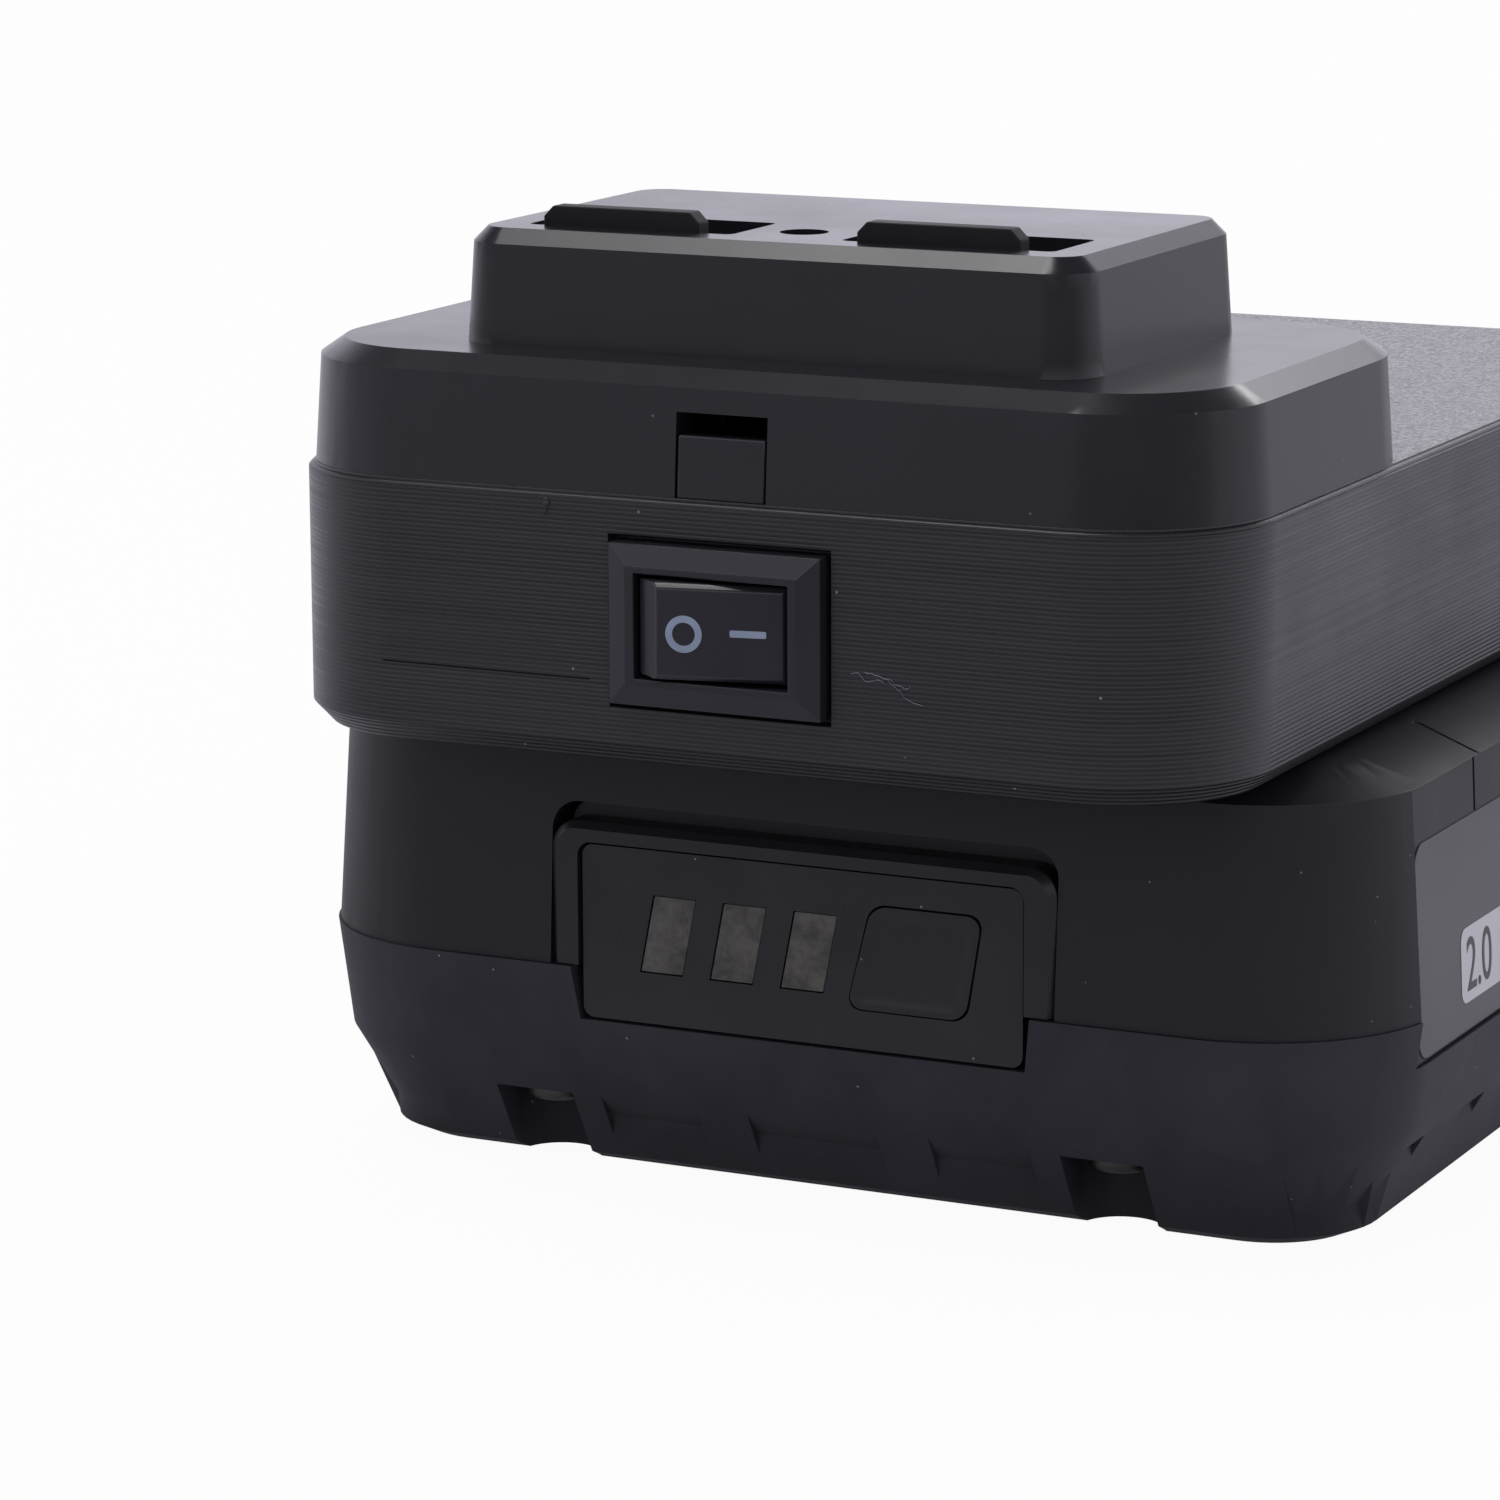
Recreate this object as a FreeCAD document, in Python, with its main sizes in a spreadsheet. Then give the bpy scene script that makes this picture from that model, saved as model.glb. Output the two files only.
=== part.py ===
# USB adapter that slides onto a five-cell power tool battery, with the battery below it.
# X is across, the charge gauge faces -Y, Z is up, and the origin is on the table below the pack's middle.
import FreeCAD, Part
import math
import os
import re

import Sketcher

V = FreeCAD.Vector

SIZES = {
    # Battery pack, outside
    "pack_length": 112.0,
    "pack_width": 80.4,
    "pack_corner": 12.1,
    "wall_draft": 0.063,
    "side_draft": 0.048,
    "side_flat_inset": 0.66,
    "seam_height": 15.16,
    "side_seam_drop": 3.2,
    "seam_gap": 0.1,
    "shoulder_drop": 1.7,
    "shoulder_run": 4.25,
    "roof_height": 32.2,
    "shell_wall": 2.2,
    "skirt_wall": 2.0,
    "part_line_back": 22.6,
    "part_line_width": 0.35,
    # Lower shell
    "sill_front": 0.25,
    "sill_side": 0.15,
    "knee_height": 7.7,
    "knee_inset": 0.94,
    "toe_height": 0.8,
    "toe_inset": 4.95,
    "foot_inset": 6.65,
    "floor_wall": 2.4,
    "dimple_wide": 9.5,
    "dimple_narrow": 7.3,
    "dimple_pitch": 12.25,
    "dimple_low": 2.4,
    "dimple_middle": 4.0,
    "dimple_high": 5.8,
    "dimple_depth": 0.6,
    "groove_pitch": 12.1,
    "groove_length": 4.6,
    "groove_low": 4.2,
    "groove_high": 5.9,
    "groove_depth": 0.9,
    # Case screws in their notches
    "screw_offset": 21.05,
    "screw_setback": 5.5,
    "notch_width": 5.9,
    "notch_height": 5.6,
    "notch_wall": 1.6,
    "screw_head_diameter": 4.6,
    "screw_head_height": 1.3,
    "screw_shank_diameter": 2.4,
    "shank_gap": 0.2,
    "screw_grip": 9.0,
    "post_diameter": 4.4,
    # Charge gauge
    "gauge_across": -0.1,
    "bezel_width": 37.0,
    "bezel_high": 10.05,
    "bezel_corner": 2.0,
    "bezel_edge": 0.5,
    "bezel_thickness": 2.4,
    "bezel_back": 1.2,
    "bezel_fit": 0.06,
    "brow_height": 1.25,
    "panel_width": 32.4,
    "panel_low": 3.5,
    "panel_high": 8.5,
    "panel_thickness": 1.5,
    "panel_set": 0.35,
    "panel_corner": 0.8,
    "panel_fit": 0.2,
    "panel_splay": 0.5,
    "window_width": 3.15,
    "window_low": 0.05,
    "window_high": 5.38,
    "window_slant": 1.05,
    "window_pitch": 5.23,
    "window_first": -11.43,
    "window_fit": 0.05,
    "window_length": 3.6,
    "button_left_low": 3.45,
    "button_left_high": 5.25,
    "button_right_low": 12.0,
    "button_right_high": 13.2,
    "button_low": -0.75,
    "button_high": 6.35,
    "button_gap": 0.12,
    "button_depth": 3.0,
    "button_proud": 0.1,
    "button_stem": 3.0,
    "button_travel": 0.7,
    "key_width": 3.4,
    "key_height": 0.4,
    "gauge_post_width": 2.2,
    "post_inset": 1.5,
    "gauge_board_setback": 5.6,
    "gauge_board_thickness": 1.0,
    # Labels on the flat sides
    "label_length": 90.6,
    "label_low": 2.95,
    "label_high": 11.4,
    "label_corner": 1.5,
    "label_thickness": 0.1,
    # Cells and what holds and joins them
    "cell_diameter": 18.4,
    "cell_length": 65.0,
    "cell_gap": 0.4,
    "holder_thickness": 4.5,
    "holder_inset": 2.0,
    "holder_rise": 1.8,
    "holder_end_wall": 1.2,
    "holder_bore_gap": 0.05,
    "strip_thickness": 0.3,
    "strip_height": 7.0,
    "board_thickness": 1.6,
    "management_inset": 2.5,
    "management_setback": 3.0,
    "management_headroom": 2.2,
    # Rail deck that carries a tool
    "deck_setback": 14.0,
    "neck_width": 46.0,
    "neck_height": 4.6,
    "head_width": 53.0,
    "head_height": 8.4,
    "deck_wall": 2.2,
    "slot_width": 2.2,
    "slot_length": 13.5,
    "slot_depth": 6.0,
    "contact_gap": 0.1,
    "contact_thickness": 0.4,
    "contact_height": 5.0,
    # Rear hump and release button
    "hump_width": 60.0,
    "hump_height": 14.4,
    "hump_length": 18.6,
    "hump_corner": 5.0,
    "hump_chamfer": 1.1,
    "release_width": 22.0,
    "release_length": 10.4,
    "release_height": 9.3,
    "release_margin": 4.2,
    "release_proud": 0.8,
    "release_gap": 0.3,
    "release_travel": 3.5,
    "arm_width": 10.0,
    "arm_height": 3.3,
    "nose_length": 6.5,
    "catch_gap": 0.3,
    "catch_depth": 2.2,
    # Printed adapter body
    "adapter_width": 68.18,
    "adapter_length": 98.7,
    "adapter_overhang": 12.2,
    "adapter_corner": 10.5,
    "adapter_gap": 0.22,
    "foot_chamfer_rise": 1.3,
    "foot_chamfer_run": 1.2,
    "top_edge": 0.45,
    "rail_gap": 0.3,
    "deck_gap": 0.4,
    "roof_wall": 4.3,
    "front_wall": 2.2,
    "partition_wall": 2.4,
    "stop_gap": 0.3,
    "chamber_width": 50.0,
    "chamber_corner": 2.0,
    "chamber_floor": 2.2,
    "chamber_roof": 3.6,
    "hatch_margin": 0.3,
    "hatch_front": 6.7,
    # Switch
    "switch_across": 0.4,
    "switch_below_top": 8.13,
    "switch_width": 15.0,
    "switch_tall": 10.5,
    "switch_pocket_gap": 0.4,
    "switch_pocket_depth": 1.3,
    "switch_rim": 0.8,
    "switch_slope_rise": 0.5,
    "switch_slope_run": 1.4,
    "switch_mouth_width": 10.9,
    "switch_mouth_tall": 6.8,
    "switch_mouth_depth": 0.8,
    "switch_well_width": 12.75,
    "switch_body_width": 13.4,
    "switch_body_tall": 8.6,
    "switch_body_depth": 8.4,
    "switch_well_depth": 6.9,
    "cutout_gap": 0.15,
    "pivot_depth": 2.47,
    "rocker_tilt": 11.0,
    "rocker_face": 4.0,
    "rocker_face_half": 4.15,
    "rocker_end_half": 5.75,
    "rocker_end_depth": 2.3,
    "rocker_tail_half": 1.6,
    "rocker_tail": 2.2,
    "rocker_tall": 6.3,
    "rocker_bevel": 0.35,
    "pin_diameter": 2.0,
    "pin_length": 0.7,
    "pin_gap": 0.05,
    "lug_pitch": 7.2,
    "lug_thickness": 0.8,
    "lug_width": 4.7,
    "lug_length": 6.5,
    # Terminal block and blades
    "blade_pitch": 8.0,
    "blade_thickness": 0.8,
    "blade_height": 4.8,
    "blade_length": 18.0,
    "blade_reach": 11.3,
    "blade_lift": 0.6,
    "block_width": 35.0,
    "block_depth": 5.5,
    "block_low": 2.0,
    "block_height": 7.6,
    # Moulded cover
    "cover_width": 67.4,
    "cover_setback": 0.6,
    "cover_depth": 40.2,
    "cover_height": 8.14,
    "cover_corner": 10.1,
    "cover_draft": 0.068,
    "cover_chamfer_rise": 1.09,
    "cover_chamfer_run": 1.59,
    "cover_wall": 2.0,
    "tower_width": 45.2,
    "tower_setback": 6.2,
    "tower_depth": 27.5,
    "tower_height": 7.53,
    "tower_corner": 3.3,
    "tower_chamfer_rise": 0.98,
    "tower_chamfer_run": 0.96,
    "tower_roof": 3.2,
    # Snap tab that stands in a window of the cover's front
    "snap_across": 0.22,
    "snap_width": 6.15,
    "snap_height": 4.05,
    "snap_thickness": 1.6,
    "snap_foot": 2.5,
    "snap_foot_setback": 0.5,
    "snap_slit": 0.15,
    "snap_opening": 1.45,
    # Ports and indicator in the cover's top
    "port_offset": 11.35,
    "port_setback": 10.0,
    "port_recess_width": 14.9,
    "port_recess_length": 7.0,
    "port_recess_corner": 0.6,
    "port_recess_depth": 2.0,
    "port_opening_gap": 0.3,
    "socket_width": 13.1,
    "socket_thickness": 5.7,
    "socket_wall": 0.3,
    "socket_drop": 0.4,
    "socket_base": 2.0,
    "tongue_width": 11.1,
    "tongue_thickness": 1.84,
    "tongue_drop": 1.5,
    "tongue_inset": 0.65,
    "pad_width": 1.1,
    "pad_pitch": 2.4,
    "pad_thickness": 0.15,
    "light_across": -0.2,
    "light_setback": 13.3,
    "light_hole_diameter": 3.2,
    "light_diameter": 2.8,
    "light_drop": 0.8,
    # Dust plugs
    "plug_gap": 0.3,
    "plug_flange": 1.0,
    "tab_shift": 0.6,
    "tab_width": 11.4,
    "tab_thickness": 1.5,
    "tab_gap": 0.1,
    "tab_proud": 1.28,
    "tab_corner": 0.7,
    "plug_foot_width": 11.8,
    "plug_foot_length": 7.0,
    # Converter board under the cover
    "converter_margin": 3.65,
    "converter_setback": 5.1,
    "converter_length": 31.5,
    "converter_corner": 3.0,
    "converter_lift": 1.5,
    "boss_margin": 2.9,
    "boss_inset": 2.6,
    "boss_diameter": 4.6,
    "board_hole_diameter": 2.4,
    "board_screw_diameter": 2.0,
    "board_screw_head": 3.8,
    "board_screw_head_height": 1.4,
    "board_screw_length": 4.5,
    "coil_width": 12.0,
    "coil_height": 6.0,
    "parts_row_setback": 18.1,
    "capacitor_share": 0.5,
    "capacitor_diameter": 8.0,
    "capacitor_height": 8.5,
    "chip_share": 0.8,
    "chip_width": 6.0,
    "chip_length": 8.0,
    "chip_height": 2.0,
}

doc = FreeCAD.newDocument("battery_usb_adapter")
sheet = doc.addObject("Spreadsheet::Sheet", "Sizes")
for row, (alias, number) in enumerate(SIZES.items(), 1):
    sheet.set(f"A{row}", alias)
    sheet.set(f"B{row}", str(number))
    sheet.setAlias(f"B{row}", alias)
doc.recompute()


def ref(text):
    """Point every alias in an expression at the sheet."""
    return re.sub(r"[a-z][a-z_0-9]*", lambda word: "Sizes." + word.group()
                  if word.group() in SIZES else word.group(), str(text))


def value(text):
    """The number that an expression stands for now."""
    result = sheet.evalExpression(str(text))
    return float(getattr(result, "Value", result))


# Levels and lines that several pieces share
CELLS = 5
CELL_PITCH = "(cell_diameter + cell_gap)"
HALF_ROW = f"({CELLS} * {CELL_PITCH} / 2)"
HALF_LENGTH = "(pack_length / 2)"
HALF_WIDTH = "(pack_width / 2)"
CEILING = "(roof_height - shell_wall)"
SHOULDER = "(roof_height - shoulder_drop)"
HOLDER_TOP = f"({CEILING} - management_headroom - board_thickness)"
CELL_LEVEL = f"({HOLDER_TOP} - holder_rise - cell_diameter / 2)"
PACK_FRONT = f"(-{HALF_LENGTH})"
SIDE_SEAM = "(seam_height - side_seam_drop)"
DECK_FRONT = f"({PACK_FRONT} + deck_setback)"
NECK_TOP = "(roof_height + neck_height)"
DECK_TOP = f"({NECK_TOP} + head_height)"
BODY_FRONT = f"({PACK_FRONT} - adapter_overhang)"
BODY_BACK = f"({BODY_FRONT} + adapter_length)"
HUMP_FRONT = f"({BODY_BACK} + 2 * release_gap)"
HUMP_BACK = f"({HUMP_FRONT} + hump_length)"
BODY_LOW = "(roof_height + adapter_gap)"
CAVITY_TOP = f"({DECK_TOP} + deck_gap)"
BODY_TOP = f"({CAVITY_TOP} + roof_wall)"
SWITCH_LEVEL = f"({BODY_TOP} - switch_below_top)"
CAVITY_FRONT = f"({DECK_FRONT} - stop_gap)"
CHAMBER_BACK = f"({CAVITY_FRONT} - partition_wall)"
CHAMBER_FRONT = f"({BODY_FRONT} + front_wall)"
CHAMBER_TOP = f"({BODY_TOP} - chamber_roof)"
COVER_FRONT = f"({BODY_FRONT} + cover_setback)"
COVER_BACK = f"({COVER_FRONT} + cover_depth)"
COVER_TOP = f"({BODY_TOP} + cover_height)"
TOWER_FRONT = f"({COVER_FRONT} + tower_setback)"
TOWER_BACK = f"({TOWER_FRONT} + tower_depth)"
TOWER_TOP = f"({COVER_TOP} + tower_height)"
RECESS_FRONT = f"({COVER_FRONT} + port_setback)"
RECESS_FLOOR = f"({TOWER_TOP} - port_recess_depth)"
PORT_LINE = f"({RECESS_FRONT} + port_recess_length / 2)"
COVER_INNER = "(cover_wall + cover_draft * cover_height)"
INNER_HALF = f"(cover_width / 2 - {COVER_INNER})"
BOARD_HALF = f"({INNER_HALF} - converter_margin)"
BOSS_ACROSS = f"({BOARD_HALF} - boss_margin)"
HATCH_HALF = f"({BOSS_ACROSS} - boss_diameter / 2 - hatch_margin)"
BOARD_LOW = f"({BODY_TOP} + converter_lift)"
BOARD_TOP = f"({BOARD_LOW} + board_thickness)"
BOARD_FRONT = f"({COVER_FRONT} + converter_setback)"
BOARD_BACK = f"({BOARD_FRONT} + converter_length)"
PARTS_LINE = f"({BOARD_FRONT} + parts_row_setback)"
HUMP_TOP = "(roof_height + hump_height)"
RELEASE_FRONT = f"({HUMP_FRONT} + release_margin)"
RELEASE_BACK = f"({RELEASE_FRONT} + release_length)"
RELEASE_TOP = f"({HUMP_TOP} + release_proud)"
RELEASE_LOW = f"({RELEASE_TOP} - release_height)"
ARM_TOP = f"({RELEASE_LOW} + arm_height)"
NOSE_BACK = f"({BODY_BACK} - hump_corner)"
NOSE_FRONT = f"({NOSE_BACK} - nose_length)"
PIVOT = f"({BODY_FRONT} + pivot_depth)"
RING = f"({BODY_FRONT} - switch_rim - switch_slope_rise)"
BLADE_LOW = f"({DECK_TOP} - slot_depth + blade_lift)"
BLADE_BACK = f"({CAVITY_FRONT} + blade_reach)"

ROLES = {"top": "XY_Plane", "front": "XZ_Plane", "side": "YZ_Plane"}
PIECES = []


def keep(piece):
    """Note a sub-part that gets a file of its own."""
    PIECES.append(piece)
    return piece


def new_body(label):
    """Start a sub-part made of sketches and features."""
    body = doc.addObject("PartDesign::Body", label)
    body.Label = label
    return keep(body)


def place(piece, across="0", along="0", up="0", axis=None, angle=None):
    """Bind a sub-part's placement to expressions."""
    if axis is not None:
        piece.Placement = FreeCAD.Placement(V(), FreeCAD.Rotation(axis, 1))
        piece.setExpression("Placement.Rotation.Angle", ref(angle))
    for name, text in (("x", across), ("y", along), ("z", up)):
        piece.setExpression(f"Placement.Base.{name}", ref(text))


def sketch_on(body, view, at):
    """A sketch seen from the top, front or side, at a level along that view."""
    sketch = body.newObject("Sketcher::SketchObject", f"{body.Name}_outline")
    plane = next(item for item in body.Origin.OriginFeatures if item.Role == ROLES[view])
    sketch.AttachmentSupport = (plane, [""])
    sketch.MapMode = "FlatFace"
    level = f"-({at})" if view == "front" else at
    sketch.setExpression("AttachmentOffset.Base.z", ref(level))
    return sketch


def size(name, kind, targets, text):
    """A driven size, with the expression that drives it."""
    constraint = Sketcher.Constraint(kind, *targets, value(text))
    constraint.Name = name
    return constraint, text


def settle(sketch, rules, sizes):
    """Add an outline's rules and driven sizes to its sketch."""
    sketch.addConstraint(rules + [constraint for constraint, text in sizes])
    for constraint, text in sizes:
        sketch.setExpression(f"Constraints.{constraint.Name}", ref(text))


def outline(points):
    """A closed outline through corners given as pairs of expressions."""
    def draw(sketch):
        spots = [V(value(u), value(w), 0) for u, w in points]
        first = sketch.GeometryCount
        sketch.addGeometry([Part.LineSegment(*ends) for ends in zip(spots, spots[1:] + spots[:1])])
        rules = []
        sizes = []
        for number, (u, w) in enumerate(points):
            line = first + number
            following = first + (number + 1) % len(points)
            rules.append(Sketcher.Constraint("Coincident", line, 2, following, 1))
            sizes.append(size(f"across_{line}", "DistanceX", (-1, 1, line, 1), u))
            sizes.append(size(f"along_{line}", "DistanceY", (-1, 1, line, 1), w))
        settle(sketch, rules, sizes)
    return draw


def box(left, right, low, high):
    """A plain rectangle."""
    return outline([(left, low), (right, low), (right, high), (left, high)])


def rounded(left, right, low, high, radius):
    """A rectangle with four round corners."""
    def draw(sketch):
        west, east, south, north, turn = (value(text) for text in (left, right, low, high, radius))
        first = sketch.GeometryCount
        corners = ((east - turn, south + turn), (east - turn, north - turn),
                   (west + turn, north - turn), (west + turn, south + turn))
        starts = ((west + turn, south), (east, south + turn), (east - turn, north), (west, north - turn))
        ends = ((east - turn, south), (east, north - turn), (west + turn, north), (west, south + turn))
        for number in range(4):
            sketch.addGeometry(Part.LineSegment(V(*starts[number], 0), V(*ends[number], 0)))
            arc = Part.Circle(V(*corners[number], 0), V(0, 0, 1), turn)
            begin = (number - 1) * math.pi / 2
            sketch.addGeometry(Part.ArcOfCircle(arc, begin, begin + math.pi / 2))
        rules = []
        for number in range(8):
            following = first + (number + 1) % 8
            rules.append(Sketcher.Constraint("Tangent", first + number, 2, following, 1))
        for number in (0, 4):
            rules.append(Sketcher.Constraint("Horizontal", first + number))
            rules.append(Sketcher.Constraint("Vertical", first + number + 2))
        for number in (3, 5, 7):
            rules.append(Sketcher.Constraint("Equal", first + 1, first + number))
        sizes = [size(f"left_side_{first}", "DistanceX", (-1, 1, first + 6, 1), left),
                 size(f"right_side_{first}", "DistanceX", (-1, 1, first + 2, 1), right),
                 size(f"low_side_{first}", "DistanceY", (-1, 1, first, 1), low),
                 size(f"high_side_{first}", "DistanceY", (-1, 1, first + 4, 1), high),
                 size(f"corner_{first}", "Radius", (first + 1,), radius)]
        settle(sketch, rules, sizes)
    return draw


def disc(across, along, diameter):
    """A circle."""
    def draw(sketch):
        centre = V(value(across), value(along), 0)
        ring = sketch.addGeometry(Part.Circle(centre, V(0, 0, 1), value(diameter) / 2))
        settle(sketch, [], [size(f"across_{ring}", "DistanceX", (-1, 1, ring, 3), across),
                            size(f"along_{ring}", "DistanceY", (-1, 1, ring, 3), along),
                            size(f"diameter_{ring}", "Diameter", (ring,), diameter)])
    return draw


def even_sided(across, along, width, sides):
    """A shape of equal sides, as wide from side to side as the width."""
    points = []
    for number in range(sides):
        angle = (number + 0.5) * 360 / sides
        reach = f"({width}) / 2 / cos({180 / sides})"
        points.append((f"{across} + {reach} * cos({angle})", f"{along} + {reach} * sin({angle})"))
    return outline(points)


def several(*shapes):
    """Several outlines in one sketch."""
    def draw(sketch):
        for shape in shapes:
            shape(sketch)
    return draw


def slab(body, view, low, high, draw):
    """Add material between two levels of a view."""
    sketch = sketch_on(body, view, high if view == "front" else low)
    draw(sketch)
    pad = body.newObject("PartDesign::Pad", f"{body.Name}_pad")
    pad.Profile = sketch
    pad.setExpression("Length", ref(f"({high}) - ({low})"))
    return pad


def cut(body, view, low, high, draw):
    """Take material away between two levels of a view."""
    sketch = sketch_on(body, view, low if view == "front" else high)
    draw(sketch)
    pocket = body.newObject("PartDesign::Pocket", f"{body.Name}_pocket")
    pocket.Profile = sketch
    pocket.setExpression("Length", ref(f"({high}) - ({low})"))
    return pocket


def loft(body, sections, kind="Additive"):
    """Join outlines at rising levels with straight walls."""
    sketches = []
    for level, draw in sections:
        sketch = sketch_on(body, "top", level)
        draw(sketch)
        sketches.append(sketch)
    feature = body.newObject(f"PartDesign::{kind}Loft", f"{body.Name}_loft")
    feature.Profile = sketches[0]
    feature.Sections = sketches[1:]
    feature.Ruled = True
    return feature


def chamfer(body, size, chooser):
    """Chamfer the edges that the chooser picks by their place."""
    doc.recompute()
    base = body.Tip
    edges = base.Shape.Edges
    names = [f"Edge{number}" for number, edge in enumerate(edges, 1) if chooser(edge)]
    feature = body.newObject("PartDesign::Chamfer", f"{body.Name}_chamfer")
    feature.Base = (base, names)
    feature.setExpression("Size", ref(size))
    return feature


def at_level(edge, axis, level):
    """Whether an edge lies wholly at a level along X, Y or Z."""
    return all(abs(vertex.Point[axis] - level) < 1e-3 for vertex in edge.Vertexes)


def footprint(inset, front="0", side="0", corner="pack_corner"):
    """The pack's rounded outline, drawn in by an inset and let out by sills."""
    half_width = f"{HALF_WIDTH} + {side} - ({inset})"
    half_length = f"{HALF_LENGTH} + {front} - ({inset})"
    return rounded(f"-({half_width})", half_width, f"-({half_length})", half_length,
                   f"{corner} + {front} - ({inset})")


def both_sides(sign_positive):
    """The name of the side that a sign stands for."""
    return "right" if sign_positive > 0 else "left"


# Lower shell: a tray with a turned-in foot, notches for the screws, dimples and side grooves
def lower_outline(inset):
    return footprint(inset, "sill_front", "sill_side")


def foot_slope(level):
    """Inset of the lower shell between its knee and its toe."""
    rate = "(toe_inset - knee_inset) / (knee_height - toe_height)"
    return f"(knee_inset + {rate} * (knee_height - ({level})))"


lower_shell = new_body("lower_shell")
loft(lower_shell, [("0", lower_outline("foot_inset")),
                   ("toe_height", lower_outline("toe_inset")),
                   ("knee_height", lower_outline("knee_inset")),
                   ("seam_height", lower_outline("0"))])
loft(lower_shell, [("floor_wall", lower_outline(f"{foot_slope('floor_wall')} + shell_wall")),
                   ("knee_height", lower_outline("knee_inset + shell_wall")),
                   ("seam_height", lower_outline("shell_wall"))], "Subtractive")
SKIRT_FRONT = f"({HALF_LENGTH} - pack_corner * 0.84)"
for sign in (-1, 1):
    inner = f"{sign} * ({HALF_WIDTH} - side_flat_inset - skirt_wall - seam_gap)"
    outer = f"{sign} * ({HALF_WIDTH} + sill_side + 1)"
    low_x, high_x = (inner, outer) if sign > 0 else (outer, inner)
    cut(lower_shell, "top", SIDE_SEAM, "seam_height + 1",
        box(low_x, high_x, f"-({SKIRT_FRONT} + seam_gap)", f"{SKIRT_FRONT} + seam_gap"))

GAUGE_TRAY = "(bezel_thickness + bezel_back)"
GAUGE_BACK = f"({PACK_FRONT} + {GAUGE_TRAY})"
PANEL_HALF = "(panel_width / 2)"
PANEL_HOLE = f"({PANEL_HALF} + panel_fit)"
PANEL_SILL = "(seam_height - panel_low - panel_fit)"
SPLAY_TOP = f"({PANEL_HOLE} + panel_splay * (panel_low + panel_fit + 1) / (panel_low + panel_fit))"
cut(lower_shell, "front", f"{PACK_FRONT} - 2", GAUGE_BACK,
    outline([(f"gauge_across - {PANEL_HOLE}", PANEL_SILL), (f"gauge_across + {PANEL_HOLE}", PANEL_SILL),
             (f"gauge_across + {SPLAY_TOP}", "seam_height + 1"),
             (f"gauge_across - {SPLAY_TOP}", "seam_height + 1")]))
OUTSIDE = f"({HALF_LENGTH} + sill_front)"
SCREWS = [(end, f"{sign} * screw_offset", f"{end} * ({HALF_LENGTH} - screw_setback)")
          for end in (-1, 1) for sign in (-1, 1)]


def screw_discs(diameter):
    """A circle at each case screw."""
    return several(*(disc(across, along, diameter) for end, across, along in SCREWS))


def screw_posts(width, sides):
    """A many-sided shape at each case screw."""
    return several(*(even_sided(across, along, width, sides) for end, across, along in SCREWS))


def screw_boxes(half, near, far):
    """A rectangle at each case screw, from one distance off the middle to another."""
    shapes = []
    for end, across, along in SCREWS:
        low, high = (near, far) if end > 0 else (f"-({far})", f"-({near})")
        shapes.append(box(f"{across} - {half}", f"{across} + {half}", low, high))
    return several(*shapes)


NOTCH_DEEP = f"({HALF_LENGTH} - screw_setback - notch_width / 2 - notch_wall)"
NOTCH_TOP = "(notch_height + notch_wall)"
slab(lower_shell, "top", "floor_wall / 2", NOTCH_TOP,
     screw_boxes("(notch_width / 2 + notch_wall)", NOTCH_DEEP, f"{OUTSIDE} - toe_inset"))
slab(lower_shell, "top", "notch_height", NOTCH_TOP,
     screw_boxes("(notch_width / 2 + notch_wall)", NOTCH_DEEP, f"{OUTSIDE} - {foot_slope('notch_height')}"))
cut(lower_shell, "top", "-1", "notch_height", screw_discs("notch_width"))
cut(lower_shell, "top", "-1", "notch_height",
    screw_boxes("notch_width / 2", f"{HALF_LENGTH} - screw_setback", f"{OUTSIDE} + 1"))
cut(lower_shell, "top", "notch_height - 1", f"{NOTCH_TOP} + 1",
    screw_posts("screw_shank_diameter + shank_gap", 8))


def slope_depth(level, depth):
    """Distance along Y from the middle to a depth below the turned-in foot."""
    return f"({OUTSIDE} - {foot_slope(level)} - {depth})"


for number in (-1, 0, 1):
    width = "dimple_narrow" if number else "dimple_wide"
    centre = f"{number} * dimple_pitch"
    cut(lower_shell, "side", f"{centre} - {width} / 2", f"{centre} + {width} / 2",
        outline([(f"-{OUTSIDE}", "dimple_low"),
                 (f"-{slope_depth('dimple_low', '-0.05')}", "dimple_low"),
                 (f"-{slope_depth('dimple_middle', 'dimple_depth')}", "dimple_middle"),
                 (f"-{slope_depth('dimple_high', '-0.05')}", "dimple_high"),
                 (f"-{OUTSIDE}", "dimple_high")]))
SIDE_OUTSIDE = f"({HALF_WIDTH} + sill_side)"
GROOVE_COUNT = 8
for sign in (-1, 1):
    inner = f"{sign} * ({SIDE_OUTSIDE} - {foot_slope('groove_high')} - groove_depth)"
    outer = f"{sign} * {SIDE_OUTSIDE}"
    low_x, high_x = (inner, outer) if sign > 0 else (outer, inner)
    middles = [f"({number} - {GROOVE_COUNT - 1} / 2) * groove_pitch" for number in range(GROOVE_COUNT)]
    cut(lower_shell, "side", low_x, high_x,
        several(*(box(f"{middle} - groove_length / 2", f"{middle} + groove_length / 2",
                      "groove_low", "groove_high") for middle in middles)))

# Upper shell: drafted walls, sloped shoulders, flat label sides, the rail deck and the rear hump
upper_shell = new_body("upper_shell")
SHOULDER_INSET = f"(wall_draft * ({SHOULDER} - seam_height))"
loft(upper_shell, [("seam_height", footprint("0")),
                   (SHOULDER, footprint(SHOULDER_INSET)),
                   ("roof_height", footprint(f"{SHOULDER_INSET} + shoulder_run"))])
cut(upper_shell, "top", "seam_height - 1", CEILING,
    footprint(f"shell_wall + wall_draft * ({CEILING} - seam_height)"))


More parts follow.
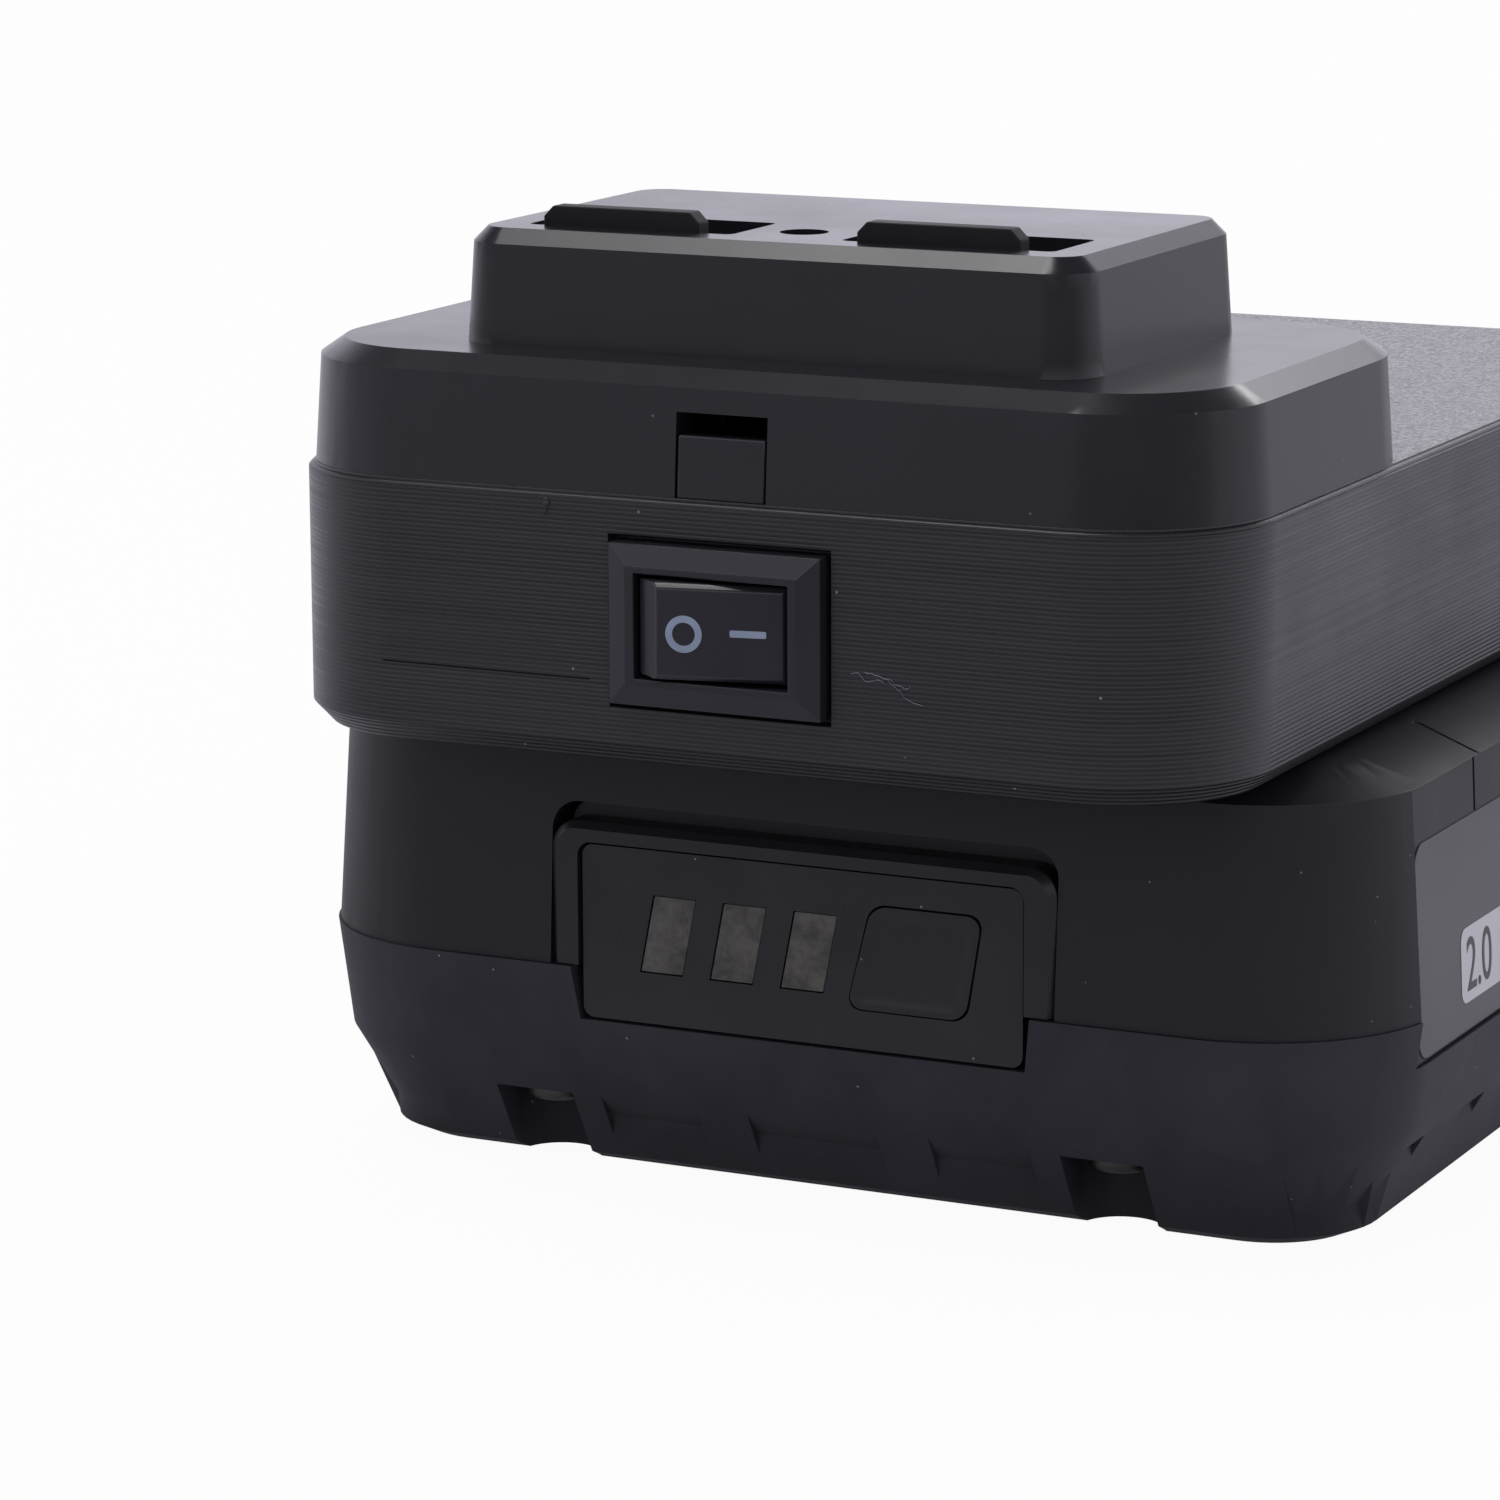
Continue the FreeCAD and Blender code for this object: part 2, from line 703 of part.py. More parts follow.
def side_flat(level):
    """Half width of the label side at a level."""
    return f"({HALF_WIDTH} - side_flat_inset - side_draft * (({level}) - seam_height))"


def mirrored(points):
    """The same outline on the left and on the right."""
    return several(*(outline([(f"{sign} * ({u})", w) for u, w in points]) for sign in (-1, 1)))


cut(upper_shell, "front", f"-{SKIRT_FRONT}", SKIRT_FRONT,
    mirrored([(side_flat("seam_height"), "seam_height"), (f"{HALF_WIDTH} + 1", "seam_height"),
              (f"{HALF_WIDTH} + 1", SHOULDER), (side_flat(SHOULDER), SHOULDER)]))
SKIRT_LOW = f"({SIDE_SEAM} + seam_gap)"
SKIRT_INNER = f"({HALF_WIDTH} - side_flat_inset - skirt_wall)"
slab(upper_shell, "front", f"-{SKIRT_FRONT}", SKIRT_FRONT,
     mirrored([(side_flat(SKIRT_LOW), SKIRT_LOW), (side_flat("seam_height + 1"), "seam_height + 1"),
               (SKIRT_INNER, "seam_height + 1"), (SKIRT_INNER, SKIRT_LOW)]))
BEZEL_HALF = "(bezel_width / 2)"
BEZEL_HOLE = f"({BEZEL_HALF} + bezel_fit)"
cut(upper_shell, "front", f"{PACK_FRONT} - 1", f"{GAUGE_BACK} + 1",
    rounded(f"gauge_across - {BEZEL_HOLE}", f"gauge_across + {BEZEL_HOLE}",
            "seam_height - bezel_corner - 1", "seam_height + bezel_high + brow_height", "bezel_corner"))
PART_LINE = f"({PACK_FRONT} + part_line_back)"
SHOULDER_EDGE = side_flat(SHOULDER)
cut(upper_shell, "front", PART_LINE, f"{PART_LINE} + part_line_width",
    mirrored([(f"{SHOULDER_EDGE} - part_line_width", "seam_height + label_high"),
              (f"{SHOULDER_EDGE} + 2", "seam_height + label_high"),
              (f"{SHOULDER_EDGE} + 2", "roof_height + 1"),
              (f"{SHOULDER_EDGE} - shoulder_run", "roof_height + 1"),
              (f"{SHOULDER_EDGE} - shoulder_run", "roof_height - part_line_width"),
              (f"{SHOULDER_EDGE} - part_line_width", f"{SHOULDER} - part_line_width")]))
slab(upper_shell, "front", DECK_FRONT, HUMP_FRONT,
     outline([("-neck_width / 2", f"{CEILING} + 1"), ("neck_width / 2", f"{CEILING} + 1"),
              ("neck_width / 2", NECK_TOP), ("head_width / 2", NECK_TOP),
              ("head_width / 2", DECK_TOP), ("-head_width / 2", DECK_TOP),
              ("-head_width / 2", NECK_TOP), ("-neck_width / 2", NECK_TOP)]))
slab(upper_shell, "top", f"{CEILING} + 1", HUMP_TOP,
     rounded("-hump_width / 2", "hump_width / 2", HUMP_FRONT, HUMP_BACK, "hump_corner"))
hump_level = value(HUMP_TOP)
chamfer(upper_shell, "hump_chamfer", lambda edge: at_level(edge, 2, hump_level))
SLOT_BACK = f"({DECK_FRONT} + slot_length)"
cut(upper_shell, "top", f"{CEILING} - 1", f"{DECK_TOP} - slot_depth - deck_wall",
    box("-(neck_width / 2 - deck_wall)", "neck_width / 2 - deck_wall",
        f"{DECK_FRONT} + deck_wall", f"{NOSE_FRONT} - deck_wall"))
BLADES = 4


def blade_across(number):
    return f"({number} - {BLADES - 1} / 2) * blade_pitch"


cut(upper_shell, "top", f"{DECK_TOP} - slot_depth", f"{DECK_TOP} + 1",
    several(*(box(f"{blade_across(number)} - slot_width / 2", f"{blade_across(number)} + slot_width / 2",
                  f"{DECK_FRONT} - 1", SLOT_BACK) for number in range(BLADES))))
WELL_LOW = f"({RELEASE_LOW} - release_travel - release_gap)"
cut(upper_shell, "top", WELL_LOW, f"{HUMP_TOP} + 1",
    box("-(release_width / 2 + release_gap)", "release_width / 2 + release_gap",
        f"{RELEASE_FRONT} - release_gap", f"{RELEASE_BACK} + release_gap"))
cut(upper_shell, "front", f"{NOSE_FRONT} - release_gap", RELEASE_FRONT,
    box("-(arm_width / 2 + release_gap)", "arm_width / 2 + release_gap",
        WELL_LOW, f"{ARM_TOP} + release_gap"))
cut(upper_shell, "top", ARM_TOP, f"{DECK_TOP} + 1",
    box("-(arm_width / 2 + release_gap)", "arm_width / 2 + release_gap",
        f"{NOSE_FRONT} - release_gap", f"{NOSE_BACK} + release_gap"))
slab(upper_shell, "top", NOTCH_TOP, f"{CEILING} + 0.5", screw_posts("post_diameter", 8))
cut(upper_shell, "top", f"{NOTCH_TOP} - 1", "screw_grip + notch_height + 2",
    screw_posts("screw_shank_diameter + shank_gap / 2", 8))

# Charge gauge, drawn about the seam at the pack's front
def slanted(left_low, left_high, right_low, right_high, low, high):
    """A four-sided outline whose ends lean."""
    return outline([(left_low, low), (right_low, low), (right_high, high), (left_high, high)])


def window_edges(number, grow="0"):
    """The outline of one slanted window, let out by a clearance."""
    left = f"(window_first + {number} * window_pitch - window_slant / 2)"
    return slanted(f"{left} - {grow}", f"{left} + window_slant - {grow}",
                   f"{left} + window_width + {grow}", f"{left} + window_slant + window_width + {grow}",
                   f"window_low - {grow}", f"window_high + {grow}")


def button_edges(grow):
    """The outline of the button, let out by a clearance."""
    return slanted(f"button_left_low - {grow}", f"button_left_high - {grow}",
                   f"button_right_low + {grow}", f"button_right_high + {grow}",
                   f"button_low - {grow}", f"button_high + {grow}")


WINDOWS = 3
gauge_bezel = new_body("gauge_bezel")
BEZEL_LEFT = f"(gauge_across - {BEZEL_HALF})"
BEZEL_RIGHT = f"(gauge_across + {BEZEL_HALF})"
slab(gauge_bezel, "front", "0", "bezel_thickness",
     rounded(BEZEL_LEFT, BEZEL_RIGHT, "-bezel_corner - 1", "bezel_high", "bezel_corner"))
cut(gauge_bezel, "front", "-1", "bezel_thickness + 1",
    box(f"{BEZEL_LEFT} - 1", f"{BEZEL_RIGHT} + 1", "-bezel_corner - 2", "seam_gap"))
chamfer(gauge_bezel, "bezel_edge", lambda edge: at_level(edge, 1, 0) and edge.CenterOfMass.z > 1)
slab(gauge_bezel, "front", "panel_set + panel_thickness", GAUGE_TRAY,
     box(f"gauge_across - {PANEL_HALF}", f"gauge_across + {PANEL_HALF}", "-panel_low", "1"))
slab(gauge_bezel, "front", "bezel_thickness", GAUGE_TRAY,
     rounded(f"{BEZEL_LEFT} + bezel_edge", f"{BEZEL_RIGHT} - bezel_edge",
             "bezel_edge", "bezel_high + brow_height - bezel_fit", "bezel_corner"))
cut(gauge_bezel, "front", "-1", "panel_set + panel_thickness",
    rounded(f"gauge_across - {PANEL_HOLE}", f"gauge_across + {PANEL_HOLE}",
            "-(panel_low + panel_fit)", "panel_high + panel_fit", "panel_corner + panel_fit"))
cut(gauge_bezel, "front", "0", f"{GAUGE_TRAY} + 1",
    several(*(window_edges(number, "button_gap") for number in range(WINDOWS)), button_edges("button_gap")))

gauge_panel = new_body("gauge_panel")
slab(gauge_panel, "front", "panel_set", "panel_set + panel_thickness",
     rounded(f"gauge_across - {PANEL_HALF}", f"gauge_across + {PANEL_HALF}",
             "-panel_low", "panel_high", "panel_corner"))
cut(gauge_panel, "front", "0", "panel_set + panel_thickness + 1",
    several(*(window_edges(number, "window_fit") for number in range(WINDOWS)), button_edges("button_gap")))
gauge_windows = [new_body(f"gauge_window_{number + 1}") for number in range(WINDOWS)]
for number, gauge_window in enumerate(gauge_windows):
    slab(gauge_window, "front", "panel_set + window_fit", "window_length", window_edges(number))

gauge_button = new_body("gauge_button")
slab(gauge_button, "front", "panel_set - button_proud", "button_depth", button_edges("0"))
BUTTON_MIDDLE = "((button_left_low + button_right_high) / 2)"
BUTTON_CENTRE = "((button_low + button_high) / 2)"
slab(gauge_button, "front", "button_depth", "gauge_board_setback - key_height - button_travel - 0.1",
     even_sided(BUTTON_MIDDLE, BUTTON_CENTRE, "button_stem", 8))

gauge_board = new_body("gauge_board")
slab(gauge_board, "front", "gauge_board_setback", "gauge_board_setback + gauge_board_thickness",
     box(f"gauge_across - {PANEL_HALF}", f"gauge_across + {PANEL_HALF}", "-panel_low + 1", "panel_high"))
slab(gauge_board, "front", "gauge_board_setback - key_height", "gauge_board_setback",
     box(f"{BUTTON_MIDDLE} - key_width / 2", f"{BUTTON_MIDDLE} + key_width / 2",
         f"{BUTTON_CENTRE} - key_width / 2", f"{BUTTON_CENTRE} + key_width / 2"))
for post in (-1, 1):
    slab(gauge_board, "front", GAUGE_TRAY, "gauge_board_setback",
         even_sided(f"gauge_across + {post} * ({PANEL_HALF} - post_inset)", "panel_high - post_inset",
                    "gauge_post_width", 8))
for piece in (gauge_bezel, gauge_panel, *gauge_windows, gauge_button, gauge_board):
    place(piece, "0", PACK_FRONT, "seam_height")

# Label on the drafted side flat
label = new_body("label_right")
slab(label, "side", "0", "label_thickness",
     rounded("-label_length / 2", "label_length / 2", "-label_low", "label_high", "label_corner"))
place(label, f"{HALF_WIDTH} - side_flat_inset", "0", "seam_height", V(0, 1, 0), "-atan(side_draft)")

# Five cells across the pack, the frame that holds them, and the strips that join them
def cell_along(number):
    return f"({number} - {CELLS - 1} / 2) * {CELL_PITCH}"


for number in range(CELLS):
    cell = keep(doc.addObject("Part::Cylinder", f"cell_{number + 1}"))
    cell.setExpression("Radius", ref("cell_diameter / 2"))
    cell.setExpression("Height", ref("cell_length"))
    cell.Placement = FreeCAD.Placement(V(), FreeCAD.Rotation(V(0, 1, 0), 90))
    cell.setExpression("Placement.Base.x", ref("-cell_length / 2"))
    cell.setExpression("Placement.Base.y", ref(cell_along(number)))
    cell.setExpression("Placement.Base.z", ref(CELL_LEVEL))

cell_holder = new_body("cell_holder")
HOLDER_OUTER = "(cell_length / 2 - holder_inset)"
for sign in (-1, 1):
    low_x = f"{HOLDER_OUTER} - holder_thickness" if sign > 0 else f"-{HOLDER_OUTER}"
    high_x = HOLDER_OUTER if sign > 0 else f"-({HOLDER_OUTER} - holder_thickness)"
    slab(cell_holder, "side", low_x, high_x,
         box(f"-{HALF_ROW} - holder_end_wall", f"{HALF_ROW} + holder_end_wall", "floor_wall", HOLDER_TOP))
cut(cell_holder, "side", f"-{HOLDER_OUTER} - 1", f"{HOLDER_OUTER} + 1",
    several(*(even_sided(cell_along(number), CELL_LEVEL, "cell_diameter + 2 * holder_bore_gap", 8)
              for number in range(CELLS))))

STRIP_GROUPS = {-1: ((0, 0), (1, 2), (3, 4)), 1: ((0, 1), (2, 3), (4, 4))}
for sign, groups in STRIP_GROUPS.items():
    strips = new_body(f"nickel_strips_{both_sides(sign)}")
    inner = f"{sign} * cell_length / 2"
    outer = f"{sign} * (cell_length / 2 + strip_thickness)"
    low_x, high_x = (inner, outer) if sign > 0 else (outer, inner)
    slab(strips, "side", low_x, high_x,
         several(*(box(f"{cell_along(first)} - strip_height / 2", f"{cell_along(last)} + strip_height / 2",
                       f"{CELL_LEVEL} - strip_height / 2", f"{CELL_LEVEL} + strip_height / 2")
                   for first, last in groups)))

management_board = new_body("management_board")
BOARD_SIDE = "(cell_length / 2 - management_inset)"
BOARD_END = f"({HALF_ROW} - management_setback)"
slab(management_board, "top", HOLDER_TOP, f"{HOLDER_TOP} + board_thickness",
     box(f"-{BOARD_SIDE}", BOARD_SIDE, f"-{BOARD_END}", BOARD_END))

contacts = new_body("battery_contacts")
CONTACT_LOW = f"({DECK_TOP} - slot_depth)"
for number in range(BLADES):
    centre = blade_across(number)
    inner = "(blade_thickness / 2 + contact_gap)"
    outer = f"({inner} + contact_thickness)"
    slab(contacts, "top", CONTACT_LOW, f"{CONTACT_LOW} + contact_height",
         outline([(f"{centre} - {outer}", f"{DECK_FRONT} + 1"), (f"{centre} - {inner}", f"{DECK_FRONT} + 1"),
                  (f"{centre} - {inner}", f"{SLOT_BACK} - contact_thickness"),
                  (f"{centre} + {inner}", f"{SLOT_BACK} - contact_thickness"),
                  (f"{centre} + {inner}", f"{DECK_FRONT} + 1"), (f"{centre} + {outer}", f"{DECK_FRONT} + 1"),
                  (f"{centre} + {outer}", SLOT_BACK), (f"{centre} - {outer}", SLOT_BACK)]))

case_screws = new_body("case_screws")
HEAD_LOW = "(notch_height - screw_head_height)"
slab(case_screws, "top", HEAD_LOW, "notch_height", screw_posts("screw_head_diameter", 20))
slab(case_screws, "top", "notch_height - 0.5", "notch_height + screw_grip",
     screw_posts("screw_shank_diameter", 8))

# Release button with its arm and catch nose
release_button = new_body("release_button")
slab(release_button, "side", "-release_width / 2", "release_width / 2",
     outline([(RELEASE_FRONT, RELEASE_LOW), (RELEASE_BACK, RELEASE_LOW),
              (RELEASE_BACK, f"{RELEASE_TOP} - 1"), (f"{RELEASE_BACK} - 1", RELEASE_TOP),
              (f"{RELEASE_FRONT} + 1", RELEASE_TOP), (RELEASE_FRONT, f"{RELEASE_TOP} - 1")]))
slab(release_button, "side", "-arm_width / 2", "arm_width / 2",
     outline([(NOSE_FRONT, RELEASE_LOW), (f"{RELEASE_FRONT} + 1", RELEASE_LOW),
              (f"{RELEASE_FRONT} + 1", ARM_TOP), (NOSE_BACK, ARM_TOP),
              (NOSE_BACK, f"{CAVITY_TOP} - catch_gap"), (f"{NOSE_BACK} - 2", f"{CAVITY_TOP} - catch_gap"),
              (NOSE_FRONT, f"{ARM_TOP} + 0.5")]))

# Printed adapter body: a closed front chamber for the wiring and rails open at the back
printed_body = new_body("printed_body")
HALF_BODY = "(adapter_width / 2)"


def body_outline(inset):
    return rounded(f"-({HALF_BODY} - {inset})", f"{HALF_BODY} - {inset}",
                   f"{BODY_FRONT} + {inset}", f"{BODY_BACK} - {inset}", f"adapter_corner - {inset}")


loft(printed_body, [(BODY_LOW, body_outline("foot_chamfer_run")),
                    (f"{BODY_LOW} + foot_chamfer_rise", body_outline("0")),
                    (f"{BODY_TOP} - top_edge", body_outline("0")),
                    (BODY_TOP, body_outline("top_edge"))])
RAIL_LEVEL = f"({NECK_TOP} - rail_gap)"
cut(printed_body, "front", CAVITY_FRONT, f"{BODY_BACK} + 1",
    outline([("-(neck_width / 2 + rail_gap)", f"{BODY_LOW} - 1"),
             ("neck_width / 2 + rail_gap", f"{BODY_LOW} - 1"),
             ("neck_width / 2 + rail_gap", RAIL_LEVEL), ("head_width / 2 + rail_gap", RAIL_LEVEL),
             ("head_width / 2 + rail_gap", CAVITY_TOP), ("-(head_width / 2 + rail_gap)", CAVITY_TOP),
             ("-(head_width / 2 + rail_gap)", RAIL_LEVEL), ("-(neck_width / 2 + rail_gap)", RAIL_LEVEL)]))
CHAMBER_LOW = f"({BODY_LOW} + chamber_floor)"
cut(printed_body, "top", CHAMBER_LOW, CHAMBER_TOP,
    rounded("-chamber_width / 2", "chamber_width / 2", CHAMBER_FRONT, CHAMBER_BACK, "chamber_corner"))
cut(printed_body, "top", f"{CHAMBER_TOP} - 1", f"{BODY_TOP} + 1",
    rounded(f"-{HATCH_HALF}", HATCH_HALF, f"{BODY_FRONT} + hatch_front", CHAMBER_BACK,
            "chamber_corner"))


def switch_box(width, tall, grow="0"):
    """A rectangle about the switch's middle, seen from the front."""
    return box(f"switch_across - {width} / 2 - {grow}", f"switch_across + {width} / 2 + {grow}",
               f"{SWITCH_LEVEL} - {tall} / 2 - {grow}", f"{SWITCH_LEVEL} + {tall} / 2 + {grow}")


cut(printed_body, "front", f"{BODY_FRONT} - 1", f"{BODY_FRONT} + switch_pocket_depth",
    switch_box("switch_width", "switch_tall", "switch_pocket_gap"))
cut(printed_body, "front", BODY_FRONT, f"{CHAMBER_FRONT} + 1",
    switch_box("switch_body_width", "switch_body_tall", "cutout_gap"))
cut(printed_body, "front", f"{CHAMBER_BACK} - 1", f"{CAVITY_FRONT} + 1",
    several(*(box(f"{blade_across(number)} - blade_thickness / 2 - rail_gap",
                  f"{blade_across(number)} + blade_thickness / 2 + rail_gap",
                  f"{BLADE_LOW} - rail_gap", f"{BLADE_LOW} + blade_height + rail_gap")
              for number in range(BLADES))))
cut(printed_body, "top", f"{CAVITY_TOP} - 1", f"{CAVITY_TOP} + catch_depth",
    box("-(arm_width / 2 + release_gap)", "arm_width / 2 + release_gap",
        f"{NOSE_FRONT} - release_gap", f"{NOSE_BACK} + release_gap"))
BOSS_LINES = (f"({BOARD_FRONT} + boss_inset)", f"({BOARD_BACK} - boss_inset)")
for line in BOSS_LINES:
    for sign in (-1, 1):
        slab(printed_body, "top", f"{BODY_TOP} - 1", BOARD_LOW,
             disc(f"{sign} * {BOSS_ACROSS}", line, "boss_diameter"))
        cut(printed_body, "top", f"{BOARD_TOP} - board_screw_length", f"{BOARD_LOW} + 1",
            even_sided(f"{sign} * {BOSS_ACROSS}", line, "board_screw_diameter + shank_gap / 2", 8))
SNAP_LEFT = "(snap_across - snap_width / 2)"
SNAP_RIGHT = "(snap_across + snap_width / 2)"
cut(printed_body, "top", f"{BODY_TOP} - snap_foot", f"{BODY_TOP} + 1",
    box(SNAP_LEFT, SNAP_RIGHT, f"{COVER_FRONT} + snap_foot_setback", f"{COVER_FRONT} + snap_thickness"))

# Snap tab between the printed body and the cover
snap_tab = new_body("snap_tab")
slab(snap_tab, "side", SNAP_LEFT, SNAP_RIGHT,
     outline([(COVER_FRONT, BODY_TOP), (f"{COVER_FRONT} + snap_foot_setback", BODY_TOP),
              (f"{COVER_FRONT} + snap_foot_setback", f"{BODY_TOP} - snap_foot"),
              (f"{COVER_FRONT} + snap_thickness", f"{BODY_TOP} - snap_foot"),
              (f"{COVER_FRONT} + snap_thickness", f"{BODY_TOP} + snap_height"),
              (f"{COVER_FRONT} + cover_draft * snap_height", f"{BODY_TOP} + snap_height")]))

# Rocker switch
switch_frame = new_body("switch_frame")
FLANGE_BACK = f"({BODY_FRONT} + switch_pocket_depth)"
RIM_FACE = f"({BODY_FRONT} - switch_rim)"
SWITCH_BACK = f"({FLANGE_BACK} + switch_body_depth)"
slab(switch_frame, "front", RIM_FACE, FLANGE_BACK, switch_box("switch_width", "switch_tall"))
slope = switch_frame.newObject("PartDesign::AdditiveLoft", "switch_slope")
slope_low = sketch_on(switch_frame, "front", RIM_FACE)
switch_box("switch_width", "switch_tall")(slope_low)
slope_high = sketch_on(switch_frame, "front", RING)
switch_box("(switch_width - 2 * switch_slope_run)", "(switch_tall - 2 * switch_slope_run)")(slope_high)
slope.Profile = slope_low
slope.Sections = [slope_high]
slope.Ruled = True
slab(switch_frame, "front", FLANGE_BACK, SWITCH_BACK, switch_box("switch_body_width", "switch_body_tall"))
cut(switch_frame, "front", f"{RING} - 1", f"{RING} + switch_mouth_depth",
    switch_box("switch_mouth_width", "switch_mouth_tall"))
cut(switch_frame, "front", f"{RING} + switch_mouth_depth", f"{RING} + switch_well_depth",
    switch_box("switch_well_width", "switch_mouth_tall"))
PIN_HALF = "(rocker_tall / 2 + pin_length)"
cut(switch_frame, "top", f"{SWITCH_LEVEL} - {PIN_HALF} - pin_gap", f"{SWITCH_LEVEL} + {PIN_HALF} + pin_gap",
    disc("switch_across", PIVOT, "pin_diameter + 2 * pin_gap"))

lugs = new_body("switch_lugs")
for sign in (-1, 1):
    centre = f"switch_across + {sign} * lug_pitch / 2"
    slab(lugs, "front", SWITCH_BACK, f"{SWITCH_BACK} + lug_length",
         box(f"{centre} - lug_thickness / 2", f"{centre} + lug_thickness / 2",
             f"{SWITCH_LEVEL} - lug_width / 2", f"{SWITCH_LEVEL} + lug_width / 2"))

rocker = new_body("rocker")
slab(rocker, "top", "-rocker_tall / 2", "rocker_tall / 2",
     outline([("-rocker_face_half", "-rocker_face"), ("rocker_face_half", "-rocker_face"),
              ("rocker_end_half", "-rocker_end_depth"), ("rocker_tail_half", "rocker_tail"),
              ("-rocker_tail_half", "rocker_tail"), ("-rocker_end_half", "-rocker_end_depth")]))
face_level = value("-rocker_face")
rocker_end = value("rocker_tall / 2") - 0.1
chamfer(rocker, "rocker_bevel",
        lambda edge: at_level(edge, 1, face_level) and abs(edge.CenterOfMass.z) > rocker_end)
slab(rocker, "top", f"-{PIN_HALF}", PIN_HALF, disc("0", "0", "pin_diameter"))
place(rocker, "switch_across", PIVOT, SWITCH_LEVEL, V(0, 0, 1), "rocker_tilt")

# Terminal block in the front chamber and its blades
terminal_block = new_body("terminal_block")
BLOCK_LOW = f"({CHAMBER_LOW} + block_low)"
slab(terminal_block, "front", f"{CHAMBER_BACK} - block_depth", CHAMBER_BACK,
     box("-block_width / 2", "block_width / 2", BLOCK_LOW, f"{BLOCK_LOW} + block_height"))
BLADE_ENDS = several(*(box(f"{blade_across(number)} - blade_thickness / 2",
                           f"{blade_across(number)} + blade_thickness / 2",
                           BLADE_LOW, f"{BLADE_LOW} + blade_height") for number in range(BLADES)))
cut(terminal_block, "front", f"{CHAMBER_BACK} - block_depth - 1", f"{CHAMBER_BACK} + 1", BLADE_ENDS)
blades = new_body("terminal_blades")
slab(blades, "front", f"{BLADE_BACK} - blade_length", BLADE_BACK, BLADE_ENDS)

# Moulded cover in two tiers, with recesses for the ports and a snap finger in its front
top_cover = new_body("top_cover")


def tier(front, back, width, corner, low, height, rise, run):
    """Sections of a drafted tier with a chamfered top."""
    sections = []
    lean_in = f"cover_draft * ({height} - {rise})"
    for level, inset in ((low, "0"), (f"{low} + {height} - {rise}", lean_in),
                         (f"{low} + {height}", f"{lean_in} + {run}")):
        half = f"({width} / 2 - ({inset}))"
        radius = f"max({corner} - ({inset}); 0.5)"
        sections.append((level, rounded(f"-{half}", half, f"{front} + {inset}",
                                        f"{back} - ({inset})", radius)))
    return sections


loft(top_cover, tier(COVER_FRONT, COVER_BACK, "cover_width", "cover_corner", BODY_TOP,
                     "cover_height", "cover_chamfer_rise", "cover_chamfer_run"))
loft(top_cover, tier(TOWER_FRONT, TOWER_BACK, "tower_width", "tower_corner", COVER_TOP,
                     "tower_height", "tower_chamfer_rise", "tower_chamfer_run"))
cut(top_cover, "top", f"{BODY_TOP} - 1", f"{COVER_TOP} - cover_wall",
    rounded(f"-{INNER_HALF}", INNER_HALF, f"{COVER_FRONT} + {COVER_INNER}", f"{COVER_BACK} - {COVER_INNER}",
            f"cover_corner - {COVER_INNER}"))
TOWER_INNER = "(cover_wall + cover_draft * tower_height)"
TOWER_HALF = f"(tower_width / 2 - {TOWER_INNER})"
cut(top_cover, "top", f"{COVER_TOP} - cover_wall - 1", f"{TOWER_TOP} - tower_roof",
    rounded(f"-{TOWER_HALF}", TOWER_HALF, f"{TOWER_FRONT} + {TOWER_INNER}", f"{TOWER_BACK} - {TOWER_INNER}",
            "max(tower_corner - cover_wall; 0.5)"))
for sign in (-1, 1):
    centre = f"{sign} * port_offset"
    cut(top_cover, "top", RECESS_FLOOR, f"{TOWER_TOP} + 1",
        rounded(f"{centre} - port_recess_width / 2", f"{centre} + port_recess_width / 2",
                RECESS_FRONT, f"{RECESS_FRONT} + port_recess_length", "port_recess_corner"))
    cut(top_cover, "top", f"{TOWER_TOP} - tower_roof - 1", f"{RECESS_FLOOR} + 1",
        box(f"{centre} - socket_width / 2 - port_opening_gap",
            f"{centre} + socket_width / 2 + port_opening_gap",
            f"{PORT_LINE} - socket_thickness / 2 - port_opening_gap",
            f"{PORT_LINE} + socket_thickness / 2 + port_opening_gap"))
LIGHT_LINE = f"({COVER_FRONT} + light_setback)"
cut(top_cover, "top", f"{TOWER_TOP} - tower_roof - 1", f"{TOWER_TOP} + 1",
    disc("light_across", LIGHT_LINE, "light_hole_diameter"))
cut(top_cover, "front", f"{COVER_FRONT} - 1", f"{COVER_FRONT} + {COVER_INNER} + 1",
    box(f"{SNAP_LEFT} - snap_slit", f"{SNAP_RIGHT} + snap_slit",
        f"{BODY_TOP} - 1", f"{BODY_TOP} + snap_height + snap_opening"))

